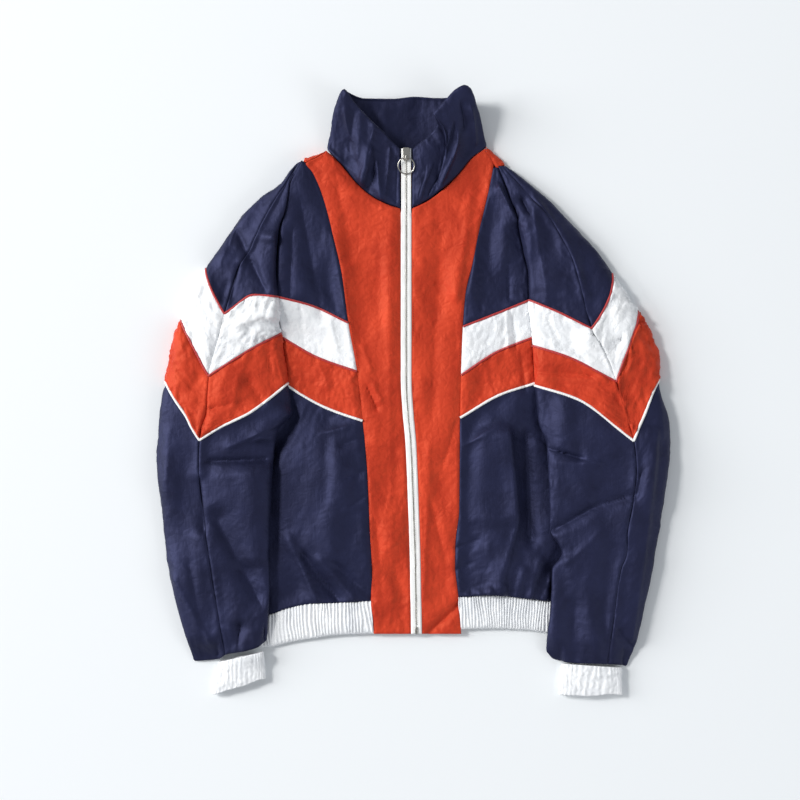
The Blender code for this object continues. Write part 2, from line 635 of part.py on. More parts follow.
def zip_strip(low, high, start, end, lift, rows):
    """Outer face of a strip along the zip, between two distances from its line."""
    y = np.linspace(start, end, rows + 1)[None, :]
    across = np.array([low, high])[:, None]
    x = zip_line(y) + across
    y = y + 0 * across
    return np.stack([x, y, zip_height(y) + lift], axis=-1)


def ribbon(point, line, places):
    """Outer face of a piping laid along a seam; point maps place and y to the surface."""
    centre = point(places, line)
    tangent = np.gradient(centre, axis=0)
    down = point(places, line - PIPING_HALF) - point(places, line + PIPING_HALF)
    tangent = tangent / np.linalg.norm(tangent, axis=-1, keepdims=True)
    down = down / np.linalg.norm(down, axis=-1, keepdims=True)
    slant = np.linalg.norm(np.cross(tangent, down), axis=-1)
    reach = PIPING_HALF / np.clip(slant, PIPING_SLANT, 1)
    return np.stack([point(places, line + reach), point(places, line - reach)], axis=1)


def lay_on(grid, flip):
    """Lift a ribbon's grid clear of the cloth that it lies on."""
    normal = grid_normals(grid, False)
    if flip:
        normal = -normal
    return grid + normal * (PIPING_LIFT + PIPING_THICK)


def make_fronts(side, cloth):
    """The five pieces of one front and the pipings in its seams."""
    flip = side == "l"
    wall(f"centre_front_{side}", centre_front_grid(side, 4, 7, 15), cloth["red_nylon"], flip=flip)
    pieces = (("front_yoke", "top", "upper", 8, "navy_nylon"),
              ("front_band_white", "upper", "middle", 3, "white_nylon"),
              ("front_band_red", "middle", "lower", 3, "red_nylon"),
              ("lower_front", "lower", "hem", 12, "navy_nylon"))
    for name, upper, lower, rows, finish in pieces:
        grid = front_grid(side, upper, lower, FRONT_COLUMNS, rows)
        wall(f"{name}_{side}", grid, cloth[finish], flip=flip, gap=CURVED_SEAM)
    for name in ("upper", "middle", "lower"):
        s = np.linspace(0, 1, FRONT_COLUMNS + 1)[:-1]
        line = front_line(side, name, s)

        def point(share, y):
            x = front_x(side, share, y)
            return np.stack([x, y, front_height(x, y)], axis=-1)

        grid = lay_on(ribbon(point, line, s), flip)
        finish = "white_piping" if name == "lower" else "red_piping"
        wall(f"piping_front_{name}_{side}", grid, cloth[finish], PIPING_THICK, flip)


def make_back(cloth):
    """The back's five pieces, flat on the floor, and the two shoulder pieces."""
    wall("back_yoke", back_yoke_grid(16), cloth["red_nylon"], level=True)

    def yoke_end(s):
        return BACK_YOKE_END + 0 * s

    def end(s):
        return hem_top(mix(body_side["r"](HEM_SEAM), body_side["l"](HEM_SEAM), s)) + 2 * LONG_SEAM

    wall("upper_back", back_grid(yoke_end, back_line("upper"), 8, 5), cloth["navy_nylon"], level=True)
    grid = back_grid(back_line("upper"), back_line("middle"), 8, 2)
    wall("back_band_white", grid, cloth["white_nylon"], level=True)
    grid = back_grid(back_line("middle"), back_line("lower"), 8, 2)
    wall("back_band_red", grid, cloth["red_nylon"], level=True)
    wall("lower_back", back_grid(back_line("lower"), end, 16, 8), cloth["navy_nylon"], level=True)
    for side in SIGN:
        wall(f"shoulder_{side}", shoulder_grid(side, 4, 6), cloth["red_nylon"], flip=side == "r")


def make_sleeve(side, cloth):
    """Four pieces of one sleeve, each in a front and a back half, the cuff and the pipings."""
    flip = side == "l"
    pieces = (("upper", "top", "upper", 8, "navy_nylon"), ("white", "upper", "middle", 3, "white_nylon"),
              ("red", "middle", "lower", 3, "red_nylon"), ("lower", "lower", "end", 11, "navy_nylon"))
    for name, upper, lower, rows, finish in pieces:
        for half in ("front", "back"):
            grid = sleeve_grid(side, half, upper, lower, rows)
            wall(f"sleeve_{name}_{half}_{side}", grid, cloth[finish], flip=flip, gap=CURVED_SEAM)
    for name in ("upper", "middle", "lower"):
        front = station(section_turns("front", 0))
        back = station(section_turns("back", 0))
        places = np.concatenate([front[1:], back[1:4]])

        def point(place, y):
            return sleeve_point(side, place, y)

        grid = lay_on(ribbon(point, sleeve_line(side, name, places), places), flip)
        finish = "white_piping" if name == "lower" else "red_piping"
        wall(f"piping_sleeve_{name}_{side}", grid, cloth[finish], PIPING_THICK, flip)
    wall(f"cuff_{side}", cuff_grid(side, 3), cloth["white_nylon"], ELASTIC, flip, ring=True)


def make_hem(cloth):
    """The elasticated hem: two fronts and the back."""
    for side in SIGN:
        grid = hem_front_grid(side, 2)
        wall(f"hem_front_{side}", grid, cloth["white_nylon"], ELASTIC, side == "l", level=True)
    wall("hem_back", hem_back_grid(1), cloth["white_nylon"], ELASTIC, level=True)


def box(shell, low, high):
    """Add a box between two corners to a bmesh."""
    corners = [(x, y, z) for x in (low[0], high[0]) for y in (low[1], high[1]) for z in (low[2], high[2])]
    verts = [shell.verts.new(tuple(c * MM for c in corner)) for corner in corners]
    for face in ((0, 1, 3, 2), (4, 6, 7, 5), (0, 4, 5, 1), (2, 3, 7, 6), (0, 2, 6, 4), (1, 5, 7, 3)):
        shell.faces.new([verts[n] for n in face])


def extrude_outline(name, outline, axis, low, high, material):
    """Prism from an outline in the two other axes, between low and high along the given axis."""
    count = len(outline)
    points = []
    for level in (low, high):
        for a, b in outline:
            points.append({"x": (level, a, b), "y": (a, level, b)}[axis])
    faces = [tuple(range(count)), tuple(reversed(range(count, 2 * count)))]
    for i in range(count):
        k = (i + 1) % count
        faces.append((i, i + count, k + count, k))
    return make_object(name, points, faces, material)


def make_slider(cloth):
    """Slider: a plate with side flanges over the teeth, and an arched lug for the ring."""
    x = RING_AXIS[0]
    bottom, top = SLIDER_PLATE
    half = SLIDER_HALF
    inside = half - SLIDER_FLANGE
    outline = [(x - half, FLANGE_FOOT), (x - half, top - 0.5), (x - half + 0.5, top),
               (x + half - 0.5, top), (x + half, top - 0.5), (x + half, FLANGE_FOOT),
               (x + inside, FLANGE_FOOT), (x + inside, bottom), (x - inside, bottom),
               (x - inside, FLANGE_FOOT)]
    slider = extrude_outline("zip_slider", outline, "y", *SLIDER_Y, cloth["nickel"])
    near, far = LUG_Y
    room = top + LUG_ROOM
    sunk = top - 0.4
    arch = [(near, sunk), (near, room + 0.4), (near + 0.8, room + LUG_WALL), (far - 0.8, room + LUG_WALL),
            (far, room + 0.4), (far, sunk), (far - LUG_WALL, sunk), (far - LUG_WALL, room),
            (near + LUG_WALL, room), (near + LUG_WALL, sunk)]
    lug = extrude_outline("lug", arch, "x", x - LUG_HALF, x + LUG_HALF, cloth["nickel"])
    join = slider.modifiers.new("lug", "BOOLEAN")
    join.operation = "UNION"
    join.object = lug
    lug.hide_render = True
    lug.display_type = "WIRE"


def make_ring(cloth, segments=20, sides=6):
    """Ring pull, hanging from the lug: its origin is on the hinge axis, its middle towards the hem."""
    turn = 2 * np.pi * np.arange(segments) / segments
    side = 2 * np.pi * np.arange(sides) / sides
    radius = RING_RADIUS + RING_WIRE * np.cos(side)[None, :]
    x = radius * np.sin(turn)[:, None]
    y = radius * np.cos(turn)[:, None] - RING_RADIUS
    z = np.broadcast_to(RING_WIRE * np.sin(side)[None, :], x.shape)
    points = np.stack([x, y, z], axis=-1).reshape(-1, 3)
    faces = []
    for i in range(segments):
        k = (i + 1) % segments
        for j in range(sides):
            n = (j + 1) % sides
            faces.append((i * sides + j, k * sides + j, k * sides + n, i * sides + n))
    ring = make_object("zip_ring", points, faces, cloth["nickel"])
    ring.location = tuple(c * MM for c in RING_AXIS)
    ring.rotation_euler = (math.radians(RING_TILT), 0, 0)


def make_zip(cloth):
    """Tapes, closed teeth, bottom box, slider and ring."""
    near, far = TAPE
    for side, sign in SIGN.items():
        low, high = sorted((sign * near, sign * far))
        grid = zip_strip(low, high, TAPE_TOP, ZIP_END, TAPE_RISE, 22)
        wall(f"zip_tape_{side}", grid, cloth["zip_tape"], TAPE_THICK, flip=True, gap=0)
    grid = zip_strip(-TEETH_HALF, TEETH_HALF, TEETH_TOP, TEETH_END, TEETH_RISE, 22)
    wall("zip_teeth", grid, cloth["nickel"], TEETH_THICK, flip=True, gap=0)
    wide, long, high = BOX_SIZE
    x = float(zip_line(ZIP_END))
    z = float(zip_height(ZIP_END)) - BOX_DEPTH
    low_y = ZIP_END + SEAM
    shell = bmesh.new()
    box(shell, (x - wide / 2, low_y, z), (x + wide / 2, low_y + long, z + high))
    mesh = bpy.data.meshes.new("zip_box")
    bmesh.ops.recalc_face_normals(shell, faces=shell.faces)
    shell.to_mesh(mesh)
    shell.free()
    mesh.materials.append(cloth["nickel"])
    bpy.context.scene.collection.objects.link(bpy.data.objects.new("zip_box", mesh))
    make_slider(cloth)
    make_ring(cloth)


def make_materials():
    """One plain material for each finish."""
    made = {}
    for name, (colour, roughness, metallic) in FINISHES.items():
        material = bpy.data.materials.new(name)
        material.use_nodes = True
        shader = material.node_tree.nodes["Principled BSDF"]
        linear = [c / 12.92 if c <= 0.04045 else ((c + 0.055) / 1.055) ** 2.4 for c in colour]
        shader.inputs["Base Color"].default_value = (*linear, 1)
        shader.inputs["Roughness"].default_value = roughness
        shader.inputs["Metallic"].default_value = metallic
        made[name] = material
    return made


def main():
    """Clear the scene and build the jacket."""
    for old in list(bpy.data.objects):
        bpy.data.objects.remove(old, do_unlink=True)
    cloth = make_materials()
    for side in SIGN:
        make_fronts(side, cloth)
        make_sleeve(side, cloth)
    make_back(cloth)
    make_hem(cloth)
    wall("collar", collar_grid(2, 6), cloth["navy_nylon"], flip=True)
    make_zip(cloth)


main()
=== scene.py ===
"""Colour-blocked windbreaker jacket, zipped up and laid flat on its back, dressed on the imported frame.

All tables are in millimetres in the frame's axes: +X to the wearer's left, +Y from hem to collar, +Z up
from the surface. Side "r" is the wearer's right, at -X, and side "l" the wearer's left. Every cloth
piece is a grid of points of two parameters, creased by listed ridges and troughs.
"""

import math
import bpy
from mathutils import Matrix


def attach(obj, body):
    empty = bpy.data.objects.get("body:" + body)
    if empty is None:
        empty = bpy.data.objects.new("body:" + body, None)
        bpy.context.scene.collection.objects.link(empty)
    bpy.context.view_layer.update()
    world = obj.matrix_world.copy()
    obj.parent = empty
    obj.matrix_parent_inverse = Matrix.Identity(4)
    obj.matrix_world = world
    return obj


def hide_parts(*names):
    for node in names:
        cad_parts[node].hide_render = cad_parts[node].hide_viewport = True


bl_info = {
    "name": "Windbreaker Jacket",
    "version": (1, 0, 0),
    "blender": (4, 5, 0),
    "location": "View3D > Sidebar > Jacket",
    "description": "Builds a crinkled nylon windbreaker laid flat, piece by piece",
    "category": "Add Mesh",
}

import bmesh
import bpy
import numpy as np
from mathutils import Vector

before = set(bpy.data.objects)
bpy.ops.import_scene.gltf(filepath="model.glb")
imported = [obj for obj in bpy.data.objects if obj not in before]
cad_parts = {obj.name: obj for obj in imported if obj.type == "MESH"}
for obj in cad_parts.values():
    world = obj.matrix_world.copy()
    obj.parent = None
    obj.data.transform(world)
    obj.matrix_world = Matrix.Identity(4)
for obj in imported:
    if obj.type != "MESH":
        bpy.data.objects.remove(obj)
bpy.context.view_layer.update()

MM = 0.001

# Outer edge of the red centre front panel, from the shoulder seam down to the hem.
# y, x
PANEL_EDGE = {
    "r": ((327, -120), (319, -132), (311, -146), (299, -137), (266, -123), (213, -109), (160, -97),
          (92, -88), (31, -77), (-38, -69), (-101, -63), (-189, -59), (-248, -56), (-278, -58),
          (-328, -54)),
    "l": ((329, 98), (321, 105), (312, 109), (299, 107), (261, 99), (219, 89), (175, 80), (130, 70),
          (67, 66), (-37, 63), (-159, 62), (-204, 57), (-233, 56.5), (-278, 61), (-328, 65)),
}
# Neck seam of the fronts, from the shoulder point down to the zip.
# y, x
NECK = {
    "r": ((329, -118), (310, -99), (284, -77), (265, -54), (255, -33), (250, -17)),
    "l": ((334, 100), (319, 80), (290, 55), (261, 20), (254, 6), (250, -3)),
}
# Armhole seam, from the shoulder down to the underarm.
# y, x
ARMHOLE = {
    "r": ((315, -152), (300, -160), (284, -167), (266, -170), (246, -174), (222, -182), (196, -185),
          (169, -186), (130, -184), (79, -180), (24, -173), (13, -171)),
    "l": ((315, 112), (300, 118), (266, 131), (239, 141), (211, 146), (183, 152), (162, 156),
          (130, 157), (87, 160), (54, 163), (24, 164), (13, 165)),
}
# Side seam of the body, hidden under the sleeve, from the underarm to the hem.
# y, x
SIDE_SEAM = {
    "r": ((-20, -164), (-45, -177), (-60, -190), (-100, -224), (-140, -240), (-200, -246),
          (-260, -240), (-283, -236), (-350, -230)),
    "l": ((-41, 169), (-60, 173), (-75, 184), (-110, 205), (-150, 214), (-200, 216), (-260, 210),
          (-283, 206), (-350, 202)),
}
# Inner fold of the sleeve below the underarm, where it lies on the body.
# y, x
SLEEVE_INNER = {
    "r": ((-26, -165), (-50, -183), (-94, -191), (-171, -194), (-235, -196), (-301, -198),
          (-366, -202)),
    "l": ((-41, 171), (-71, 181), (-124, 184), (-186, 186), (-218, 201), (-240, 188), (-286, 187),
          (-336, 181), (-374, 180)),
}
# Sleeve sections: y, x of the outer fold, place of the overarm seam across the width, crown height.
SLEEVE = {
    "r": ((315, -152.5, 0.40, 13.5), (303, -165, 0.40, 15), (284, -180, 0.40, 18),
          (266, -207, 0.41, 21), (246, -228, 0.42, 24), (222, -245, 0.43, 26),
          (196, -263, 0.46, 28), (169, -282, 0.53, 30), (130, -302, 0.55, 31),
          (79, -323, 0.58, 31), (24, -335, 0.64, 31), (-26, -345, 0.64, 31), (-94, -349, 0.63, 30),
          (-171, -341, 0.61, 30), (-235, -334, 0.57, 27), (-301, -319, 0.55, 24),
          (-366, -299, 0.54, 20)),
    "l": ((309.5, 125.5, 0.55, 13.5), (303, 133.5, 0.55, 15), (284, 158, 0.56, 18),
          (266, 179, 0.57, 21), (239, 206, 0.65, 24), (211, 232, 0.62, 26),
          (183, 256, 0.59, 28), (162, 270, 0.56, 30), (140, 285, 0.54, 31),
          (111, 305, 0.51, 31), (87, 320, 0.50, 31), (54, 331, 0.57, 31), (12, 334, 0.65, 31),
          (-41, 347, 0.68, 31), (-76, 349, 0.70, 31), (-124, 343, 0.73, 30), (-195, 333, 0.69, 29),
          (-265, 320, 0.67, 26), (-331, 305, 0.70, 23), (-374, 290, 0.76, 20)),
}
# Chevron seams of a sleeve: y at the armhole, half-way to the overarm seam, at it, at the outer fold.
SLEEVE_LINES = {
    "r": {"upper": (130, 132, 107, 169), "middle": (81, 57, 23, 99), "lower": (13, -28, -64, 15)},
    "l": {"upper": (126, 109, 87, 162), "middle": (64, 47, 15, 111), "lower": (10, -10, -65, 18)},
}
# Chevron seams of a front: y at the centre front panel, half-way, at the armhole.
FRONT_LINES = {
    "r": {"upper": (95, 118, 130), "middle": (29, 47, 76), "lower": (-38, -19, 12)},
    "l": {"upper": (90, 108, 126), "middle": (24, 56, 75), "lower": (-34, -2, 14)},
}
# Chevron seams of the back: y at the right armhole, at the middle, at the left armhole.
BACK_LINES = {"upper": (130, 78, 126), "middle": (81, 30, 66), "lower": (13, -36, 13)}
# Top edge of a front yoke: y at the centre front panel, half-way, at the armhole.
YOKE_TOP = {"r": (311, 313, 315), "l": (306, 307, 308)}
# Top edge of a sleeve, and the level seam under the back yoke, as y.
CAP_TOP = {"r": 314.5, "l": 308.5}
BACK_YOKE_END = 280
# Bottom edge of a sleeve, along its width from the inner to the outer fold: share of width, y.
SLEEVE_END = {
    "r": ((0.0, -337), (0.1, -345), (0.3, -351), (0.54, -356), (0.66, -363), (1.0, -366)),
    "l": ((0.0, -352), (0.1, -363), (0.3, -367), (0.6, -368), (0.88, -370), (1.0, -373)),
}
# Cuff corners: the inner and outer ends of its top edge, then of its bottom edge, each x, y.
CUFF = {
    "r": ((-204, -351), (-265, -366), (-202, -388), (-273, -411)),
    "l": ((202, -368), (284, -373.5), (198, -411), (284, -411)),
}
# A cuff's height in the middle, at its top and its end, and at its folds.
CUFF_TOP_HEIGHT = 17
CUFF_END_HEIGHT = 14
CUFF_FOLD_HEIGHT = 7.5
# Elasticated hem across the body: x, y of its top edge, y of its bottom edge.
HEM = ((-240, -311, -350), (-195, -302, -346), (-172, -294, -340), (-137, -287, -334),
       (-107, -286, -330), (-56, -283, -328), (5, -281, -328), (64, -278, -322), (108, -275, -321),
       (153, -280, -323), (183, -284, -327), (212, -287, -329))
# Top edge of the back yoke, under the shoulder pieces and the collar's foot: x, y.
BACK_NECK = ((-160, 299), (-152, 304), (-136, 311), (-121, 319), (-108, 323), (-85, 318), (-45, 312),
             (-8, 310), (35, 312), (72, 320), (92, 327), (102, 324), (116, 300))
# Shoulder piece: x, y of its fold, of its front seam and of its back seam, at its neck end, half-way
# and at its armhole end.
SHOULDER = {
    "r": ((-119, 330, -120.5, 327.5, -122, 320), (-134, 323, -132.5, 319.5, -136.5, 312),
          (-150, 316, -147, 312.5, -151, 309)),
    "l": ((101, 334, 97.8, 330.5, 104, 325), (114, 322, 106.5, 315.5, 113, 315),
          (125, 310, 113, 305, 117, 301)),
}
SHOULDER_FOLD_HEIGHT = 6
# Stand collar from the zip round the neck to the zip: foot x, y, z, top edge x, y, z, and how far the
# section leans in x and z, two thirds of the way up, from the straight line between them. The front
# of the left side laps over itself in a soft pleat that opens towards the top edge.
COLLAR = (
    (-17.6, 250.6, 17.0, -17.6, 330, 22, 0, 0), (-34, 256, 16.8, -29, 341, 24, 0, 1),
    (-54, 265.6, 16.6, -41, 354, 27, 0, 2), (-77, 284.6, 15.6, -60, 371, 32, 0, 2),
    (-98, 310.6, 14.2, -80, 392, 38, -3, 2), (-112, 325, 12.6, -90, 406, 42, -4, 2),
    (-117, 331, 8.0, -94, 409, 41, -5, 0), (-109, 325, 1.5, -86, 405, 30, -3, -4),
    (-84, 318.6, 0.4, -66, 401, 10, 0, -2), (-45, 312.6, 0.4, -30, 401, 5, 0, 0),
    (-8, 310.6, 0.4, 2, 404, 4, 0, 0), (35, 312.6, 0.4, 32, 402, 5, 0, 0),
    (72, 320.6, 0.4, 54, 402, 12, 0, -2), (92, 330, 1.5, 68, 408, 34, 2, -4),
    (99.5, 335, 8.0, 75, 411, 43, 3, 0), (95, 331, 12.8, 68, 413, 48, 3, 2),
    (80, 319.8, 13.8, 56, 407, 49, 4, 3), (61, 296.6, 15.0, 44, 395, 48, 8, 4),
    (46, 282.8, 15.8, 34, 384, 47, 12, 4), (35, 274, 16.0, 26, 374, 46, 15, 3),
    (29, 269, 16.2, 31, 364, 34, 15, -6), (23, 264.2, 16.4, 25, 352, 26, 9, -3),
    (16, 260, 16.6, 17, 345, 25, 2, 0), (7, 255, 16.8, 8, 339, 24, 0, 0),
    (-2.4, 251.2, 17.0, -2.4, 330, 22, 0, 0),
)
# Height of the fronts: y, at the body's side edge, along the middle.
FRONT_HEIGHT = ((335, 12, 13), (311, 12, 14.5), (250, 12, 17), (100, 11, 16), (13, 11, 15.5),
                (0, 8, 15.5), (-20, 5, 15), (-45, 3.6, 15), (-200, 3.6, 15), (-283, 3.6, 13),
                (-335, 3.6, 11))
# Run in which a front rises from the side edge's height to the middle's.
SIDE_RUN = 45
# The body's edge lifts the underside of the sleeve that lies on it: the room between them, the run of
# the lift across the sleeve, and the places and runs in y where it starts and ends.
LAYER_GAP = 1.5
UNDER_RAMP = 16
UNDERARM_TOP = {"r": -14, "l": -24}
UNDERARM_RUN = 32
HEM_CORNER = -378
HEM_CORNER_RUN = 27
# Height of a sleeve's folds, how much lower the inner one lies, the underarm seam as a share of the
# width below, the overarm seam's turn of the section, and how far the back half stops short of the
# inner fold where it is sewn in.
SLEEVE_FOLD_HEIGHT = 9
FOLD_SINK = 2
UNDERARM_SEAM = 0.33
OVERARM_TURN = 0.6
ARMHOLE_LAP = 0.06
# Run in which a sleeve closes on its cuff, and its thickness in the corners beside the cuff.
END_RUN = 36
CORNER_HEIGHT = 5.2
# A section rises from its folds as a half ellipse raised to this power.
CROWN_POWER = 0.7
# Below this line a sleeve isn't sewn to the body any more, and its inner fold comes free in a run.
FREE_FOLD = -4
FREE_RUN = 14
# How fast an underside settles on the floor from a fold.
PRESS = 1.15
# Foot of the collar at the zip, seam of the hem, its middle, and the sleeve's end, as y.
NECK_FOOT = 250
HEM_SEAM = -290.0
HEM_MIDDLE = -305.0
SLEEVE_FOOT = -350.0
# A section's lean is v * v * (1 - v), which peaks two thirds of the way up at 1 / LEAN_SCALE.
LEAN_SCALE = 6.75

# Zip line down the centre front: y, x.
ZIP_LINE = ((334, -10), (18, -10), (-26, -7.5), (-71, -3.5), (-129, -1), (-233, 2.5), (-328, 4))
# The centre front's edge beside it, as a distance from the line.
ZIP_OPENING = 7.3
ZIP_TOP_HEIGHT = 22
ZIP_END = -328
# Tape: inner and outer edge, the outer one of the part that shows, the same beside the collar, where
# and in what run it narrows to that, how deep the rest is tucked under the centre front and in what run,
# height above the front, thickness in metres, top, and height and size of its cockles.
TAPE_INNER = 0.5
TAPE_WIDTH = 12.5
TAPE_EDGE = 7.0
TAPE_COLLAR_EDGE = 6.3
TAPE_NARROWS = (236, 10)
TAPE_TUCK = 3.6
TUCK_RUN = 2
TAPE_RISE = 0.2
TAPE_WALL = 0.0007
TAPE_TOP = 331
TAPE_COCKLE = 0.25
COCKLE_SIZE = (9, 6)
# Teeth: y of both ends of the row, distance from the line to either side, height above the tape, and
# half sizes of a tooth's foot and of its top, with the top's height.
TEETH_END = -317
TEETH_TOP = 319
TOOTH_OFFSET = 0.45
TOOTH_RISE = 0.7
TOOTH_FOOT = (1.0, 0.62, 0.0)
TOOTH_HEAD = (0.75, 0.3, 0.8)
# Bottom box: width, length, height, how deep it sits on the tapes and how far it stops short of the end.
BOX_SIZE = (4.0, 9.5, 3.6)
BOX_DEPTH = 1.0
BOX_LIFT = 0.2
BOX_ROUND = 0.3

# Slider: y of its ends, half width, z of its plate, how deep the plate goes, its lower end's share of
# the width, and the roundness of its corners.
SLIDER_Y = (314, 332)
SLIDER_HALF = 5.6
SLIDER_PLATE = (24.3, 25.8)
SLIDER_DEPTH = 0.5
SLIDER_TAPER = 0.72
SLIDER_ROUND = 0.35
# Lug: y of its ends, wall, half width, room under it, and how deep its feet go into the plate.
LUG_Y = (314.6, 322.4)
LUG_WALL = 1.2
LUG_HALF = 1.5
LUG_ROOM = 3.3
LUG_FOOT = 0.6
# Ring: a point of its wire on the hinge line, radius, half the wire's thickness, and its tilt in degrees.
RING_AXIS = (-10.0, 318.2, 27.5)
RING_RADIUS = 11.1
RING_WIRE = 0.9
RING_TILT = 12.5

# Creases of the collar: start and end as way along the neck seam and way up from it, then height
# outwards and the half widths to the left and to the right of the line.
COLLAR_CREASES = (
    (45, 50, 44, 20, -3.0, 4, 5), (44, 20, 48, 1, -2.2, 4, 4), (51, 54, 54, 2, 2.5, 6, 4),
    (43, 47, 31, 2, 2.5, 4, 8), (54, 82, 54, 59, 2.0, 4, 6), (54, 59, 56, 5, 1.6, 4, 5),
    (112, 4, 81, 3, 1.6, 5, 5), (89, 67, 73, 42, 1.2, 3, 5), (75, 79, 73, 28, -1.2, 4, 3),
    (68, 76, 64, 27, 1.2, 4, 4), (24, 72, 27, 6, 1.2, 4, 6), (6, 71, 8, 3, -0.8, 4, 5),
    (340, 41, 378, 7, 2.4, 6, 8), (342, 60, 430, 6, -1.6, 5, 5), (306, 57, 312, 11, 1.6, 5, 5),
    (430, 47, 457, 7, 1.4, 5, 5), (320, 69, 322, 38, -1.5, 4, 6), (150, 75, 152, 5, 1.5, 7, 9),
    (176, 70, 180, 10, -1.5, 8, 7), (205, 78, 203, 8, 1.2, 7, 8), (228, 70, 232, 12, -1.5, 8, 6),
    (252, 76, 255, 14, 1.4, 6, 8),
)
# Way along the neck from one section to the next, and depth of the collar, on which they are placed.
SECTION_WIDTH = 20
COLLAR_DEPTH = 85
# Creases of the back, which lift it off the floor: start x, y, end x, y, height, half widths.
BACK_CREASES = (
    (-120, 250, -150, 60, 2, 9, 14), (95, 260, 140, 70, 2, 14, 9), (-60, 190, -20, -40, 1.5, 12, 16),
    (40, 150, 70, -90, 1.5, 15, 11), (-190, -80, -140, -260, 2.5, 10, 16),
    (-90, -60, -70, -280, 1.8, 9, 12), (20, -120, 0, -280, 1.6, 12, 10),
    (110, -60, 150, -270, 2.2, 14, 10), (-40, 280, 60, 262, 1.2, 8, 8),
)

# Crinkle of each cloth: height and size of its facets. It is stronger on the sleeves' bands, calmer on
# the centre fronts, and a little stronger on the doubled collar.
CRINKLE = {"navy_nylon": (1.1, 24.0), "red_nylon": (1.6, 17.0), "white_nylon": (1.2, 13.0)}
SLEEVE_CRINKLE = 2.0
CENTRE_CRINKLE = 0.6
COLLAR_CRINKLE = 1.2
# The crinkle is read at x + 1.3 z, y - 0.4 z, so that steep cloth has it too.
SLANT = (1.3, 0.4)
# Facets: squeeze in y of the wide and the fine ones, and the fine ones' share of height and of size.
FACET_SQUEEZE = (0.75, 0.6)
FINE_HEIGHT = 0.5
FINE_SIZE = 0.4
# Patches of more and less crinkle: mean, spread, and size in x and y.
PATCH = (0.75, 0.6)
PATCH_SIZE = (60, 75)
# Slow swell of cloth that looks up: height, size in x and y, its bend and that bend's size, and how far
# from the border it starts.
SWELL = 5.0
SWELL_SIZE = (30, 66)
SWELL_BEND = (0.4, 50)
SWELL_REACH = 10
# All creases are this many times as high as their tables say.
CREASE_GAIN = 2.4
# More crinkle next to a seam, and the dip of the cloth into it, each with its reach, and the reach in
# which crinkle and swell fade out.
PUCKER = 1.1
PUCKER_REACH = 7.0
SEAM_DIP = 0.6
SEAM_REACH = 1.5
CALM_REACH = 2.25
# Cells of a grid: the shorter ones next to a seam, then the pitch on each group of pieces.
EDGE_CELLS = (0.8, 1.8, 3.2)
FRONT_PITCH = 2.1
SLEEVE_PITCH = 2.3
SLEEVE_FINE = 2.6
BACK_PITCH = 6.0
# Rough sizes that set the number of cells: width and depth of a centre front, width of a front's other
# pieces and of the back, depth of the back yoke, way round a sleeve before and after the overarm seam.
PANEL_SIZE = (55, 657)
FRONT_WIDTH = 110
BACK_WIDTH = 380
BACK_YOKE_DEPTH = 40
SLEEVE_ROUND = (105, 70)
# Cells of the other grids, across and down: collar sections and height, shoulder piece and its turn, a
# sleeve's underside next to the inner fold and on to it from the outer one, tape, ring and its wire.
COLLAR_CELLS = (14, 46)
SHOULDER_CELLS = (24, 24)
UNDERSIDE_CELLS = (9, 23)
TAPE_CELLS = (14, 329)
RING_CELLS = (72, 16)
# Cells across each pleat, and down, of the front hem, the back hem and a cuff.
HEM_CELLS = (6, 26)
HEM_BACK_CELLS = (4, 10)
CUFF_CELLS = (16, 26)
FLOOR_GAP = 0.05
# How far a front runs on under the sleeve below the underarm: where that starts and ends in y, each
# with its run.
UNDERLAP = 9.0
UNDERLAP_START = (30, 40)
UNDERLAP_END = (-200, 80)
# First seed of each group of pieces.
SEED = {"centre": 11, "front": 21, "back": 51, "shoulder": 58, "sleeve": 81, "hem": 91, "cuff": 95,
        "collar": 101}

# Gathers that rise into the fronts from the hem: height, reach, pitch, and the way up in which they
# change. The centre fronts have none: x of their middle, half their width, and the run beside it.
GATHER_RISE = 1.1
GATHER_REACH = 13.0
GATHER_PITCH = 7.0
GATHER_DRIFT = 60
UNGATHERED = (4, 58, 12)
# Hem: pleats of a front and of the back, their height, its fullness, how far its foot rolls under and
# from what share of its depth, and the height and size of its crumples.
HEM_GATHERS = 38
HEM_BACK_GATHERS = 60
HEM_WAVE = 1.6
HEM_FULL = 1.6
HEM_ROLL = 3.0
HEM_ROLL_START = 0.86
HEM_CRUMPLE = (0.5, 7.0)
# Cuffs: rise of the gathers in the sleeve above, pleats, their height, the frill of the end, and the
# height and size of the crumples.
CUFF_GATHER = 1.2
CUFF_GATHERS = 16
CUFF_WAVE = 0.45
CUFF_FRILL = 1.5
CUFF_CRUMPLE = (1.4, 12.0)

FRONT_PIECES = (
    ("front_yoke", "top", "upper", "navy_nylon"), ("front_band_white", "upper", "middle", "white_nylon"),
    ("front_band_red", "middle", "lower", "red_nylon"), ("lower_front", "lower", "hem", "navy_nylon"),
)
SLEEVE_PIECES = (
    ("upper", "top", "upper", "navy_nylon"), ("white", "upper", "middle", "white_nylon"),
    ("red", "middle", "lower", "red_nylon"), ("lower", "lower", "end", "navy_nylon"),
)
PIPED = {"upper": "red_piping", "middle": "red_piping", "lower": "white_piping"}
